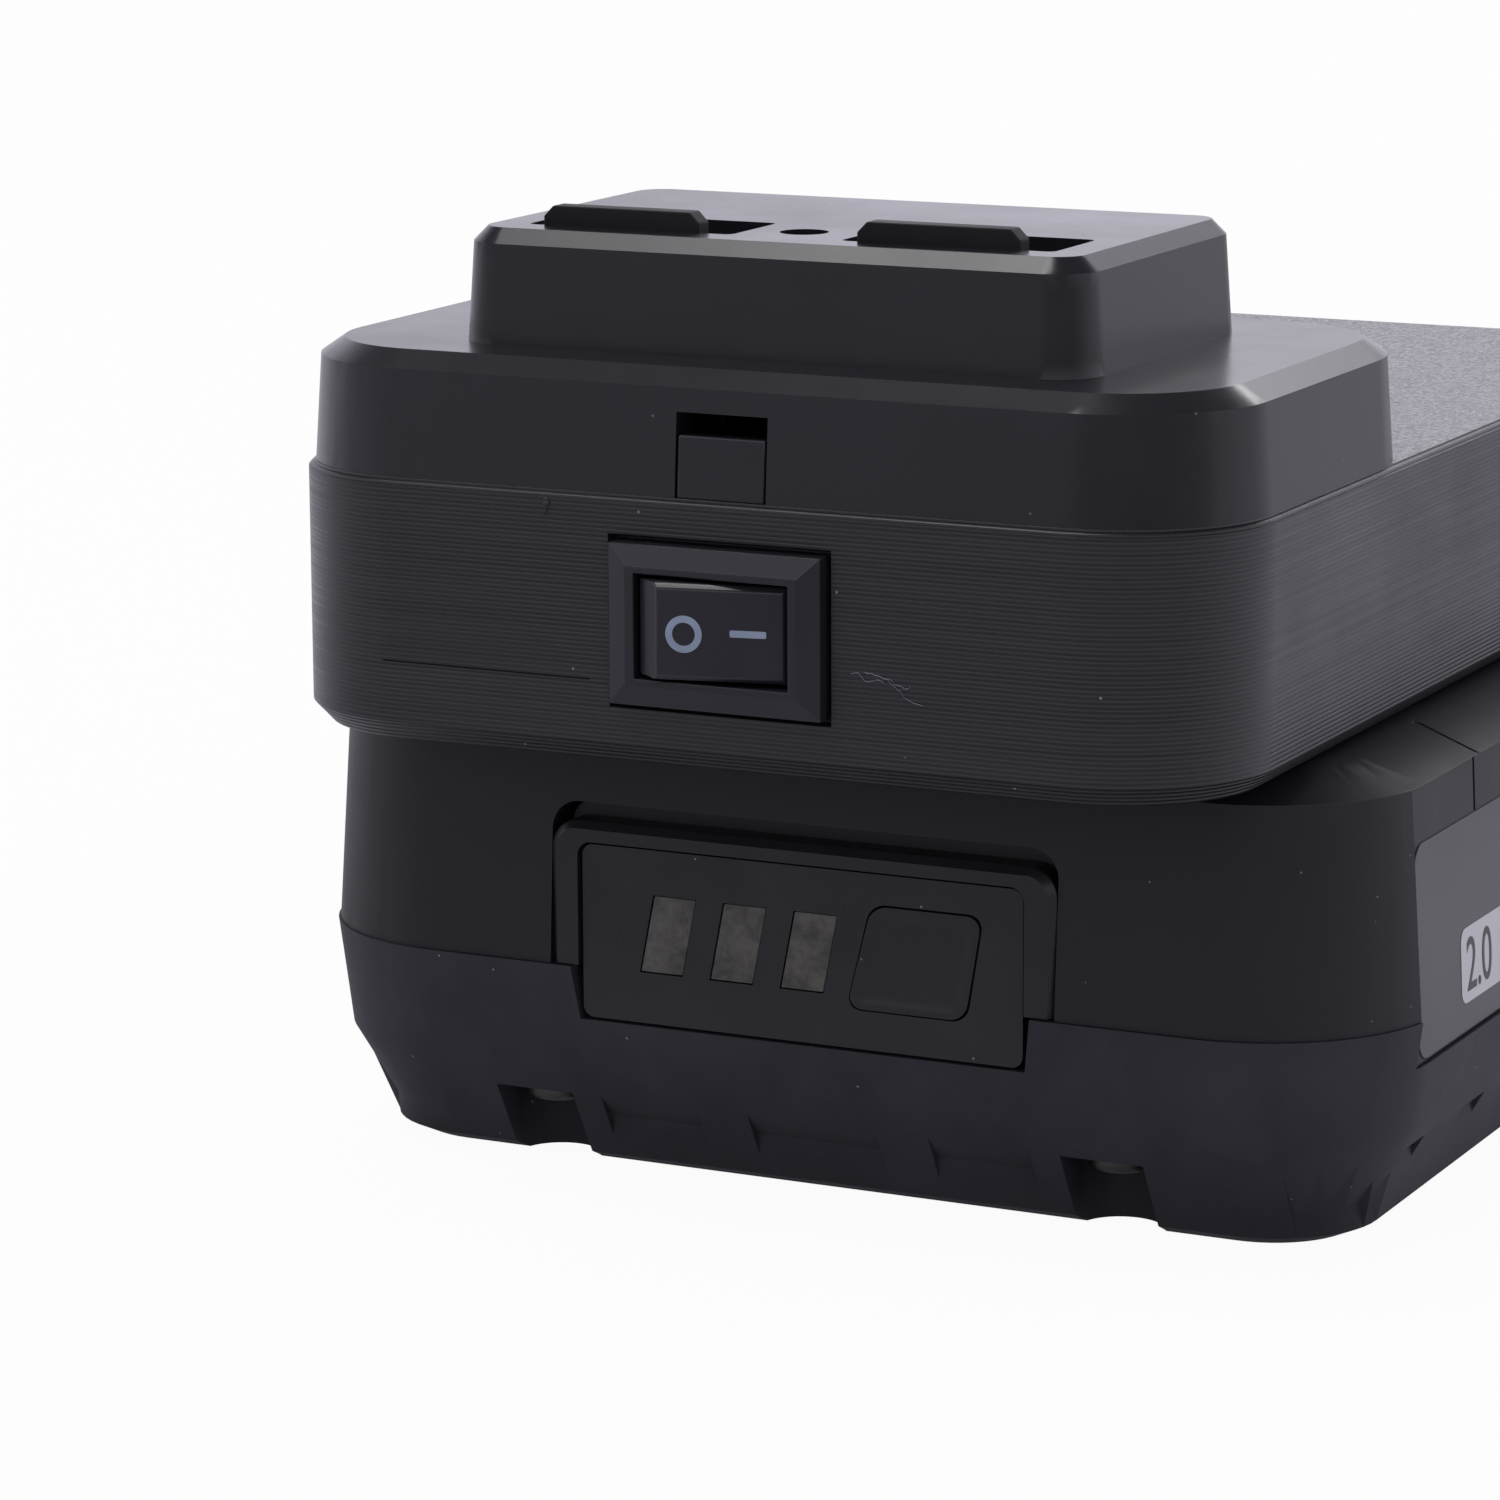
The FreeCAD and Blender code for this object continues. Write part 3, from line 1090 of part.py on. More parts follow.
# USB sockets on the converter board, and the light pipe between them
SOCKET_TOP = f"({RECESS_FLOOR} - socket_drop)"
for sign in (-1, 1):
    side = both_sides(sign)
    centre = f"{sign} * port_offset"
    shell = new_body(f"usb_shell_{side}")
    outer_box = box(f"{centre} - socket_width / 2", f"{centre} + socket_width / 2",
                    f"{PORT_LINE} - socket_thickness / 2", f"{PORT_LINE} + socket_thickness / 2")
    slab(shell, "top", BOARD_TOP, SOCKET_TOP, outer_box)
    cut(shell, "top", f"{BOARD_TOP} - 1", f"{SOCKET_TOP} + 1",
        box(f"{centre} - socket_width / 2 + socket_wall", f"{centre} + socket_width / 2 - socket_wall",
            f"{PORT_LINE} - socket_thickness / 2 + socket_wall",
            f"{PORT_LINE} + socket_thickness / 2 - socket_wall"))
    tongue = new_body(f"usb_tongue_{side}")
    slab(tongue, "top", BOARD_TOP, f"{BOARD_TOP} + socket_base",
         box(f"{centre} - socket_width / 2 + socket_wall", f"{centre} + socket_width / 2 - socket_wall",
             f"{PORT_LINE} - socket_thickness / 2 + socket_wall",
             f"{PORT_LINE} + socket_thickness / 2 - socket_wall"))
    tongue_back = f"({PORT_LINE} + socket_thickness / 2 - socket_wall - tongue_inset)"
    slab(tongue, "top", f"{BOARD_TOP} + socket_base", f"{SOCKET_TOP} - tongue_drop",
         box(f"{centre} - tongue_width / 2", f"{centre} + tongue_width / 2",
             f"{tongue_back} - tongue_thickness", tongue_back))
    pads = new_body(f"usb_contacts_{side}")
    slab(pads, "top", f"{BOARD_TOP} + socket_base", f"{SOCKET_TOP} - tongue_drop - 0.8",
         several(*(box(f"{centre} + ({number} - 1.5) * pad_pitch - pad_width / 2",
                       f"{centre} + ({number} - 1.5) * pad_pitch + pad_width / 2",
                       f"{tongue_back} - tongue_thickness - pad_thickness",
                       f"{tongue_back} - tongue_thickness")
                   for number in range(4))))

    plug = new_body(f"dust_plug_{side}")
    slab(plug, "top", RECESS_FLOOR, f"{RECESS_FLOOR} + plug_flange",
         rounded(f"{centre} - port_recess_width / 2 + plug_gap",
                 f"{centre} + port_recess_width / 2 - plug_gap",
                 f"{RECESS_FRONT} + plug_gap", f"{RECESS_FRONT} + port_recess_length - plug_gap",
                 "port_recess_corner"))
    tab_centre = f"({centre} - tab_shift)"
    slab(plug, "front", f"{RECESS_FRONT} + tab_gap", f"{RECESS_FRONT} + tab_gap + tab_thickness",
         outline([(f"{tab_centre} - tab_width / 2", RECESS_FLOOR),
                  (f"{tab_centre} + tab_width / 2", RECESS_FLOOR),
                  (f"{tab_centre} + tab_width / 2", f"{TOWER_TOP} + tab_proud - tab_corner"),
                  (f"{tab_centre} + tab_width / 2 - tab_corner", f"{TOWER_TOP} + tab_proud"),
                  (f"{tab_centre} - tab_width / 2 + tab_corner", f"{TOWER_TOP} + tab_proud"),
                  (f"{tab_centre} - tab_width / 2", f"{TOWER_TOP} + tab_proud - tab_corner")]))
    foot_front = f"({PORT_LINE} - socket_thickness / 2 + socket_wall + plug_gap)"
    foot_back = f"({tongue_back} - tongue_thickness - pad_thickness - plug_gap)"
    slab(plug, "top", f"{RECESS_FLOOR} - plug_foot_length", f"{RECESS_FLOOR} + plug_flange / 2",
         box(f"{centre} - plug_foot_width / 2", f"{centre} + plug_foot_width / 2", foot_front, foot_back))

light_pipe = keep(doc.addObject("Part::Cylinder", "light_pipe"))
light_pipe.setExpression("Radius", ref("light_diameter / 2"))
light_pipe.setExpression("Height", ref(f"{TOWER_TOP} - light_drop - {BOARD_TOP}"))
place(light_pipe, "light_across", LIGHT_LINE, BOARD_TOP)

# Converter board, its screws and its parts
converter_board = new_body("converter_board")
slab(converter_board, "top", BOARD_LOW, BOARD_TOP,
     rounded(f"-{BOARD_HALF}", BOARD_HALF, BOARD_FRONT, BOARD_BACK, "converter_corner"))
board_screws = new_body("board_screws")
for line in BOSS_LINES:
    for sign in (-1, 1):
        across = f"{sign} * {BOSS_ACROSS}"
        cut(converter_board, "top", f"{BOARD_LOW} - 1", f"{BOARD_TOP} + 1",
            even_sided(across, line, "board_hole_diameter", 12))
        slab(board_screws, "top", f"{BOARD_TOP} + 0.2 - board_screw_length", BOARD_TOP,
             even_sided(across, line, "board_screw_diameter", 8))
        slab(board_screws, "top", BOARD_TOP, f"{BOARD_TOP} + board_screw_head_height",
             even_sided(across, line, "board_screw_head", 12))

power_coil = keep(doc.addObject("Part::Box", "power_coil"))
power_coil.setExpression("Length", ref("coil_width"))
power_coil.setExpression("Width", ref("coil_width"))
power_coil.setExpression("Height", ref("coil_height"))
place(power_coil, "-coil_width / 2", f"{PARTS_LINE} - coil_width / 2", BOARD_TOP)
for sign in (-1, 1):
    capacitor = keep(doc.addObject("Part::Cylinder", f"capacitor_{both_sides(sign)}"))
    capacitor.setExpression("Radius", ref("capacitor_diameter / 2"))
    capacitor.setExpression("Height", ref("capacitor_height"))
    place(capacitor, f"{sign} * capacitor_share * {BOARD_HALF}", PARTS_LINE, BOARD_TOP)
regulator = keep(doc.addObject("Part::Box", "regulator_chip"))
regulator.setExpression("Length", ref("chip_width"))
regulator.setExpression("Width", ref("chip_length"))
regulator.setExpression("Height", ref("chip_height"))
place(regulator, f"chip_share * {BOARD_HALF} - chip_width / 2", f"{PARTS_LINE} - chip_length / 2", BOARD_TOP)

# Every object is checked before anything is written
doc.recompute()
for item in doc.Objects:
    if "Invalid" in item.State or "Error" in item.State:
        raise RuntimeError(f"{item.Label} failed: {item.State}")
for piece in PIECES:
    if piece.Shape.isNull() or not piece.Shape.isValid() or not piece.Shape.Solids:
        raise RuntimeError(f"{piece.Label} has no valid solid")
os.makedirs("parts", exist_ok=True)
for piece in PIECES:
    piece.Shape.exportStep(f"parts/{piece.Label}.step")
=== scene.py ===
"""Look of a tool battery and the USB adapter on its rail: finishes, fine shapes, stage and camera."""
import logging
import math
import random
from collections.abc import Callable, Iterable
from dataclasses import dataclass
from enum import Enum

import bpy
from mathutils import Matrix, Vector


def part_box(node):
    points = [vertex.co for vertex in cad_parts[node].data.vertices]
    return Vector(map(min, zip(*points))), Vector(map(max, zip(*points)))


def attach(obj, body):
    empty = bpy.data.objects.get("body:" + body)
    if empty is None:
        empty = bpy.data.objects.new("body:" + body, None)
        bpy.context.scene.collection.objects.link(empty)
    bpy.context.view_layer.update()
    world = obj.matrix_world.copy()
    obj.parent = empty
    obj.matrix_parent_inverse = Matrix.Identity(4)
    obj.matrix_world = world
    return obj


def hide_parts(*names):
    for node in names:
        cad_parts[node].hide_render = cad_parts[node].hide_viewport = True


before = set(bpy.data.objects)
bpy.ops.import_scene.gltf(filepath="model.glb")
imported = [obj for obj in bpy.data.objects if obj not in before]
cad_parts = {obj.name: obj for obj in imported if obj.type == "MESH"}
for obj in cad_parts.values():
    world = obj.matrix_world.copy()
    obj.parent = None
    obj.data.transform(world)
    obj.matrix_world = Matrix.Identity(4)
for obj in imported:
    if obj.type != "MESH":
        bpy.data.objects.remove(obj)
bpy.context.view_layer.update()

LOG = logging.getLogger("adapter_look")
MM = 0.001

Shade = tuple[float, float, float]
Spot = tuple[float, float, float]
Reach = tuple[float, float]
Piece = bpy.types.Object
Socket = bpy.types.NodeSocket
Source = Socket | Spot | float


# Node wiring
class Nodes:
    """A node tree, with short calls that add nodes and fill their inputs."""

    def __init__(self, tree: bpy.types.NodeTree) -> None:
        """Empty the tree and take it over."""
        self.tree = tree
        tree.nodes.clear()

    def add(self, kind: str, inputs: dict[str | int, Source] | None = None, **settings: str) -> bpy.types.Node:
        """Add a node and fill its inputs.

        Args:
            kind: Blender's name for the node type.
            inputs: What each input gets, by the input's name or number.
            settings: Properties of the node.

        Returns:
            The new node.
        """
        node = self.tree.nodes.new(kind)
        for name, setting in settings.items():
            setattr(node, name, setting)
        for name, source in (inputs or {}).items():
            self.feed(node.inputs[name], source)
        return node

    def feed(self, target: Socket, source: Source) -> None:
        """Give an input another node's output, a number, a vector or a colour.

        Args:
            target: The input.
            source: What it gets.
        """
        if isinstance(source, Socket):
            self.tree.links.new(source, target)
        elif isinstance(source, tuple):
            target.default_value = (*source, 1.0)[:len(target.default_value)]
        else:
            target.default_value = source

    def split(self, vector: Socket) -> bpy.types.NodeOutputs:
        """The X, Y and Z of a vector."""
        return self.add("ShaderNodeSeparateXYZ", {"Vector": vector}).outputs

    def span(self, value: Socket, low: float, high: float, to_low: float | Socket = 0.0,
             to_high: float = 1.0) -> Socket:
        """Map a value from one range to another and clamp it."""
        ends = {"Value": value, "From Min": low, "From Max": high, "To Min": to_low, "To Max": to_high}
        return self.add("ShaderNodeMapRange", ends).outputs["Result"]

    def compute(self, first: Socket, second: Socket | float, operation: str = "ADD") -> Socket:
        """Join two values by arithmetic."""
        return self.add("ShaderNodeMath", {0: first, 1: second}, operation=operation).outputs["Value"]

    def mix(self, share: Socket, first: Socket | float, second: Socket | float) -> Socket:
        """Mix two numbers by a share of the second."""
        return self.add("ShaderNodeMix", {0: share, 2: first, 3: second}, data_type="FLOAT").outputs[0]

    def blend(self, share: Socket, first: Shade | Socket, second: Shade | Socket) -> Socket:
        """Mix two colours by a share of the second."""
        return self.add("ShaderNodeMix", {"Factor": share, 6: first, 7: second}, data_type="RGBA").outputs[2]


class Wiring(Nodes):
    """The node tree of one material: patterns that end in a plain shader."""

    def __init__(self, name: str, levels: dict[str, Source] | None = None) -> None:
        """Start a material with its shader.

        Args:
            name: Name of the material.
            levels: Fixed levels of the shader, by the input's name.
        """
        self.material = bpy.data.materials.new(name)
        self.material.use_nodes = True
        super().__init__(self.material.node_tree)
        self.shader = self.add("ShaderNodeBsdfPrincipled", levels)
        self.add("ShaderNodeOutputMaterial", {"Surface": self.shader.outputs["BSDF"]})
        self.coordinates = self.add("ShaderNodeTexCoord").outputs["Object"]

    def stretched(self, scale: Spot, turn: Spot = (0.0, 0.0, 0.0)) -> Socket:
        """Object coordinates stretched along the axes and then turned, in radians."""
        inputs = {"Vector": self.coordinates, "Scale": scale, "Rotation": turn}
        return self.add("ShaderNodeMapping", inputs).outputs["Vector"]

    def noise(self, size: float, detail: float = 3.0, roughness: float = 0.55,
              along: Socket | None = None) -> Socket:
        """Soft noise.

        Args:
            size: Size of its features in metres.
            detail: Number of finer layers.
            roughness: Weight of the finer layers.
            along: Coordinates in place of the object's own.

        Returns:
            The noise, from 0 to 1.
        """
        inputs = {"Scale": 1.0 / size, "Detail": detail, "Roughness": roughness,
                  "Vector": along or self.coordinates}
        return self.add("ShaderNodeTexNoise", inputs).outputs["Fac"]

    def cells(self, size: float, along: Socket | None = None, feature: str = "F1") -> Socket:
        """A distance measured in irregular cells of a size in metres."""
        inputs = {"Scale": 1.0 / size, "Vector": along or self.coordinates}
        return self.add("ShaderNodeTexVoronoi", inputs, feature=feature).outputs["Distance"]

    def bump(self, height: Socket, depth: float, strength: float = 1.0, under: Socket | None = None) -> Socket:
        """Turn a height into a normal.

        Args:
            height: The height, from 0 to 1.
            depth: Real height of the step in metres.
            strength: Share of the effect.
            under: A normal that this one lies on.

        Returns:
            The normal.
        """
        inputs = {"Strength": strength, "Distance": depth, "Height": height}
        if under is not None:
            inputs["Normal"] = under
        return self.add("ShaderNodeBump", inputs).outputs["Normal"]

    def finish(self, colour: Socket, roughness: Socket, normal: Socket) -> bpy.types.Material:
        """Join the three patterns to the shader.

        Args:
            colour: Output that gives the base colour.
            roughness: Output that gives the roughness.
            normal: Output that gives the normal.

        Returns:
            The material.
        """
        for name, pattern in (("Base Color", colour), ("Roughness", roughness), ("Normal", normal)):
            self.feed(self.shader.inputs[name], pattern)
        return self.material


# Finishes
@dataclass(frozen=True)
class Moulded:
    """Moulded plastic or rubber: fine grain, faint clouds, hair scratches and dust."""

    name: str
    colour: Shade
    pale: Shade
    roughness: float = 0.42
    spread: float = 0.08
    grain: float = 0.25
    grain_depth: float = 0.004
    cloud: float = 18.0
    dust: float = 0.5
    specular: float = 0.5
    dust_tone: Shade = (0.30, 0.29, 0.30)

    def material(self) -> bpy.types.Material:
        """Make the finish.

        Returns:
            Its material.
        """
        wiring = Wiring(self.name, {"Specular IOR Level": self.specular})
        clouds = wiring.noise(self.cloud * MM, 4.0, 0.6)
        grain = wiring.noise(self.grain * MM, 2.0, 0.5)
        hairs = wiring.noise(1.6 * MM, 3.0, 0.7, wiring.stretched((1.0, 1.0, 9.0), (0.5, 0.3, 0.2)))
        scratches = wiring.span(hairs, 0.66, 0.74)
        specks = wiring.span(wiring.cells(2.6 * MM), 0.022, 0.034, 1.0, 0.0)
        tone = wiring.blend(wiring.span(clouds, 0.35, 0.75), self.colour, self.pale)
        dusty = wiring.blend(wiring.compute(specks, self.dust, "MULTIPLY"), tone, self.dust_tone)
        dull = wiring.span(clouds, 0.3, 0.7, self.roughness - self.spread, self.roughness + self.spread)
        rough = wiring.compute(dull, wiring.compute(scratches, -0.06, "MULTIPLY"))
        normal = wiring.bump(grain, self.grain_depth * MM)
        return wiring.finish(dusty, rough, wiring.bump(clouds, 0.02 * MM, 0.5, normal))


@dataclass(frozen=True)
class Printed:
    """Melted filament laid in level lines, each a little wider or duller than the next."""

    name: str
    colour: Shade
    pale: Shade
    layer: float
    bead_depth: float = 0.11
    wall_share: float = 0.25
    roughness: float = 0.36
    dust_tone: Shade = (0.34, 0.33, 0.34)

    def beads(self, wiring: Wiring) -> Socket:
        """Rounded beads one layer high, with a sharp groove between each and the next.

        Args:
            wiring: The material's node tree.

        Returns:
            Height of the beads, from 0 in a groove to 1.
        """
        turns = wiring.compute(wiring.split(wiring.coordinates)["Z"], 1.0 / (self.layer * MM), "MULTIPLY")
        centred = wiring.compute(wiring.compute(turns, 0.0, "FRACT"), 0.5, "SUBTRACT")
        return wiring.span(wiring.compute(centred, centred, "MULTIPLY"), 0.0, 0.25, 1.0, 0.0)

    def steps(self, wiring: Wiring) -> Socket:
        """How far the beads stand out: little on an upright wall, more on a slope, where they are stairs.

        Args:
            wiring: The material's node tree.

        Returns:
            Share of the beads' height.
        """
        normal = wiring.add("ShaderNodeNewGeometry").outputs["Normal"]
        lean = wiring.compute(wiring.split(normal)["Z"], 0.0, "ABSOLUTE")
        return wiring.span(lean, 0.12, 0.6, self.wall_share, 1.0)

    def material(self) -> bpy.types.Material:
        """Make the finish.

        Returns:
            Its material.
        """
        wiring = Wiring(self.name)
        beads = self.beads(wiring)
        streaks = wiring.noise(self.layer * MM * 1.4, 2.0, 0.6, wiring.stretched((0.012, 0.012, 1.0)))
        clouds = wiring.noise(14.0 * MM, 3.0, 0.6)
        specks = wiring.span(wiring.cells(3.4 * MM), 0.018, 0.03, 1.0, 0.0)
        tone = wiring.blend(wiring.span(streaks, 0.3, 0.72), self.colour, self.pale)
        dusty = wiring.blend(wiring.compute(specks, 0.7, "MULTIPLY"), tone, self.dust_tone)
        rough = wiring.compute(wiring.span(streaks, 0.3, 0.7, self.roughness - 0.05, self.roughness + 0.06),
                               wiring.span(clouds, 0.3, 0.7, -0.04, 0.05))
        normal = wiring.bump(streaks, 0.008 * MM)
        height = wiring.compute(beads, self.steps(wiring), "MULTIPLY")
        return wiring.finish(dusty, rough, wiring.bump(height, self.bead_depth * MM, 1.0, normal))


@dataclass(frozen=True)
class Pebbled:
    """The print's top: close, sparkling pebbles left by a textured bed."""

    name: str
    colour: Shade
    pale: Shade
    pebble: float = 0.55

    def material(self) -> bpy.types.Material:
        """Make the finish.

        Returns:
            Its material.
        """
        wiring = Wiring(self.name)
        pebbles = wiring.cells(self.pebble * MM)
        lumps = wiring.noise(self.pebble * MM * 1.3, 3.0, 0.7)
        glints = wiring.noise(self.pebble * MM * 0.5, 1.0, 0.5)
        tone = wiring.blend(wiring.span(lumps, 0.4, 0.66), self.colour, self.pale)
        rough = wiring.span(glints, 0.35, 0.65, 0.20, 0.42)
        normal = wiring.bump(pebbles, -0.06 * MM)
        return wiring.finish(tone, rough, wiring.bump(lumps, 0.07 * MM, 0.8, normal))


@dataclass(frozen=True)
class Metal:
    """Rolled or turned metal with fine lines and dull patches."""

    name: str
    colour: Shade
    dull: Shade
    roughness: float = 0.3
    lines: Spot = (1.0, 12.0, 1.0)

    def material(self) -> bpy.types.Material:
        """Make the finish.

        Returns:
            Its material.
        """
        wiring = Wiring(self.name, {"Metallic": 1.0})
        lines = wiring.noise(0.9 * MM, 3.0, 0.7, wiring.stretched(self.lines))
        clouds = wiring.noise(3.5 * MM, 4.0, 0.65)
        tone = wiring.blend(wiring.span(clouds, 0.35, 0.7), self.colour, self.dull)
        rough = wiring.compute(wiring.span(clouds, 0.3, 0.7, self.roughness - 0.06, self.roughness + 0.14),
                               wiring.span(lines, 0.3, 0.7, -0.04, 0.06))
        return wiring.finish(tone, rough, wiring.bump(lines, 0.006 * MM))


@dataclass(frozen=True)
class Laminate:
    """Circuit board: solder mask over tracks, with a weave that shows faintly through."""

    name: str
    mask: Shade
    track: Shade

    def material(self) -> bpy.types.Material:
        """Make the finish.

        Returns:
            Its material.
        """
        wiring = Wiring(self.name, {"Coat Weight": 0.3, "Coat Roughness": 0.15})
        weave = wiring.add("ShaderNodeTexChecker", {"Scale": 1.0 / (0.5 * MM), "Vector": wiring.coordinates})
        runs = wiring.cells(4.5 * MM, wiring.stretched((1.0, 1.0, 0.0)), "DISTANCE_TO_EDGE")
        tracks = wiring.span(runs, 0.07, 0.09, 1.0, 0.0)
        tone = wiring.blend(tracks, self.mask, self.track)
        rough = wiring.span(wiring.noise(2.0 * MM), 0.3, 0.7, 0.3, 0.45)
        normal = wiring.bump(tracks, 0.03 * MM)
        return wiring.finish(tone, rough, wiring.bump(weave.outputs["Fac"], 0.004 * MM, 0.6, normal))


@dataclass(frozen=True)
class Diffuser:
    """Milky grey plastic over a lamp, mottled, with darker flow marks."""

    name: str
    colour: Shade
    deep: Shade

    def material(self) -> bpy.types.Material:
        """Make the finish.

        Returns:
            Its material.
        """
        wiring = Wiring(self.name, {"Specular IOR Level": 0.4, "Subsurface Weight": 0.2, "Subsurface Scale": 1.0,
                                    "Subsurface Radius": (0.6 * MM, 0.6 * MM, 0.5 * MM)})
        mottle = wiring.noise(1.1 * MM, 4.0, 0.65)
        flow = wiring.noise(1.4 * MM, 2.0, 0.5, wiring.stretched((2.2, 1.0, 0.5)))
        tone = wiring.blend(wiring.span(mottle, 0.36, 0.66), self.colour, self.deep)
        rough = wiring.span(flow, 0.3, 0.7, 0.25, 0.5)
        return wiring.finish(tone, rough, wiring.bump(flow, 0.02 * MM, 0.6))


class Finish(Enum):
    """The finishes of this object, each with its name, colours and measures."""

    COVER = Moulded("cover_black", (0.0105, 0.0095, 0.0130), (0.0150, 0.0135, 0.0180), 0.25, 0.04, 0.20, 0.003)
    COVER_EDGE = Moulded("cover_worn_edge", (0.016, 0.015, 0.019), (0.030, 0.028, 0.034), 0.22, 0.06, 0.20, 0.002)
    PACK = Moulded("pack_black", (0.0120, 0.0108, 0.0138), (0.0165, 0.0150, 0.0190), 0.54, 0.06, 0.32, 0.010,
                  18.0, 0.5, 0.4)
    PACK_EDGE = Moulded("pack_worn_edge", (0.018, 0.017, 0.021), (0.034, 0.032, 0.038), 0.36, 0.08, 0.32, 0.004)
    FOOT = Moulded("foot_grained", (0.0240, 0.0232, 0.0300), (0.0390, 0.0375, 0.0460), 0.60, 0.07, 0.45, 0.016,
                   7.0, 0.8, 0.34)
    FOOT_EDGE = Moulded("foot_worn_edge", (0.024, 0.023, 0.029), (0.050, 0.048, 0.056), 0.55, 0.08, 0.45, 0.008)
    GAUGE = Moulded("gauge_black", (0.0120, 0.0112, 0.0130), (0.0170, 0.0160, 0.0185), 0.40, 0.06, 0.30, 0.005)
    PANEL = Moulded("gauge_film", (0.0150, 0.0142, 0.0165), (0.0200, 0.0190, 0.0215), 0.30, 0.05, 0.15, 0.002,
                    7.0, 0.9)
    SWITCH = Moulded("switch_black", (0.0170, 0.0155, 0.0215), (0.0220, 0.0205, 0.0270), 0.34, 0.05, 0.18, 0.003)
    PLUG = Moulded("plug_grained", (0.0070, 0.0062, 0.0076), (0.0110, 0.0100, 0.0120), 0.58, 0.06, 0.22, 0.006,
                   specular=0.30)
    LABEL = Moulded("label_grey", (0.040, 0.039, 0.043), (0.052, 0.050, 0.056), 0.38, 0.05, 0.12, 0.002, 22.0, 0.4)
    LABEL_PRINT = Moulded("label_white", (0.62, 0.61, 0.63), (0.70, 0.69, 0.71), 0.42, 0.05, 0.10, 0.001)
    MARK = Moulded("mark_blue_grey", (0.22, 0.27, 0.36), (0.28, 0.34, 0.44), 0.5, 0.06, 0.08, 0.004, 2.0, 0.0)
    CELL = Moulded("cell_sleeve", (0.05, 0.16, 0.30), (0.07, 0.20, 0.36), 0.32, 0.05, 0.5, 0.004)
    HOLDER = Moulded("holder_white", (0.55, 0.54, 0.50), (0.62, 0.61, 0.57), 0.5, 0.06, 0.3, 0.006)
    PART = Moulded("component_grey", (0.035, 0.035, 0.038), (0.055, 0.055, 0.058), 0.45, 0.08, 0.2, 0.005)
    TONGUE = Moulded("tongue_white", (0.62, 0.62, 0.60), (0.70, 0.70, 0.68), 0.45, 0.05, 0.15, 0.002)
    LENS = Diffuser("lens_smoke", (0.030, 0.030, 0.034), (0.012, 0.012, 0.014))
    BAR = Diffuser("bar_olive", (0.115, 0.110, 0.098), (0.055, 0.052, 0.047))
    THREAD = Moulded("stray_filament", (0.17, 0.165, 0.185), (0.24, 0.235, 0.255), 0.35, 0.05, 0.1, 0.001)
    NICKEL = Metal("nickel_strip", (0.62, 0.60, 0.56), (0.50, 0.48, 0.44), 0.28, (1.0, 1.0, 14.0))
    BRASS = Metal("brass_sheet", (0.78, 0.58, 0.30), (0.60, 0.43, 0.22), 0.26)
    STEEL = Metal("screw_steel", (0.17, 0.165, 0.15), (0.10, 0.095, 0.09), 0.42, (6.0, 6.0, 1.0))
    SOCKET = Metal("socket_sheet", (0.60, 0.60, 0.60), (0.48, 0.48, 0.48), 0.3, (1.0, 1.0, 10.0))
    BOARD = Laminate("board_green", (0.010, 0.075, 0.035), (0.020, 0.115, 0.055))
    PRINT = Printed("print_black", (0.0130, 0.0120, 0.0150), (0.0215, 0.0200, 0.0240), 0.3)
    PRINT_TOP = Pebbled("print_pebbled", (0.045, 0.043, 0.048), (0.10, 0.098, 0.106))

    def material(self) -> bpy.types.Material:
        """The one material of this finish, made on its first use."""
        return bpy.data.materials.get(self.value.name) or self.value.material()


# Modelling steps that several pieces share
def alone(piece: Piece) -> None:
    """Select one piece alone and make it active.

    Args:
        piece: The piece to select.
    """
    bpy.ops.object.select_all(action="DESELECT")
    piece.select_set(True)
    bpy.context.view_layer.objects.active = piece


def put(name: str, content: bpy.types.ID) -> Piece:
    """Put a new object into the scene.

    Args:
        name: Name of the object.
        content: The mesh, light or camera that it holds.

    Returns:
        The object.
    """
    piece = bpy.data.objects.new(name, content)
    bpy.context.collection.objects.link(piece)
    return piece


def fresh(add_shape: Callable[..., object], **settings: object) -> Piece:
    """A new primitive, selected alone.

    Args:
        add_shape: Blender's call that adds it.
        settings: What that call is given.

    Returns:
        The primitive.
    """
    bpy.ops.object.select_all(action="DESELECT")
    add_shape(**settings)
    return bpy.context.active_object


def start_edit(piece: Piece, kind: str = "FACE", picked: str = "SELECT") -> None:
    """Open a piece in edit mode.

    Args:
        piece: The piece to edit.
        kind: What is picked: VERT, EDGE or FACE.
        picked: SELECT for all of it, DESELECT for nothing.
    """
    alone(piece)
    bpy.ops.object.mode_set(mode="EDIT")
    bpy.ops.mesh.select_mode(type=kind)
    bpy.ops.mesh.select_all(action=picked)


def end_edit() -> None:
    """Leave edit mode."""
    bpy.ops.object.mode_set(mode="OBJECT")


def pick(piece: Piece, kind: str, items: Iterable[object], test: Callable[[object], bool]) -> None:
    """Open a piece with the items selected that pass a test.

    Args:
        piece: The piece to edit.
        kind: What the items are: VERT, EDGE or FACE.
        items: The piece's points, edges or faces.
        test: Says whether an item is wanted.
    """
    start_edit(piece, kind, "DESELECT")
    end_edit()
    for item in items:
        item.select = test(item)
    bpy.ops.object.mode_set(mode="EDIT")


def pick_faces(piece: Piece, test: Callable[[bpy.types.MeshPolygon], bool]) -> None:
    """Open a piece with the faces selected that pass a test."""
    pick(piece, "FACE", piece.data.polygons, test)


def pick_points(piece: Piece, test: Callable[[Vector], bool]) -> None:
    """Open a piece with the points selected whose places pass a test."""
    pick(piece, "VERT", piece.data.vertices, lambda point: test(point.co))


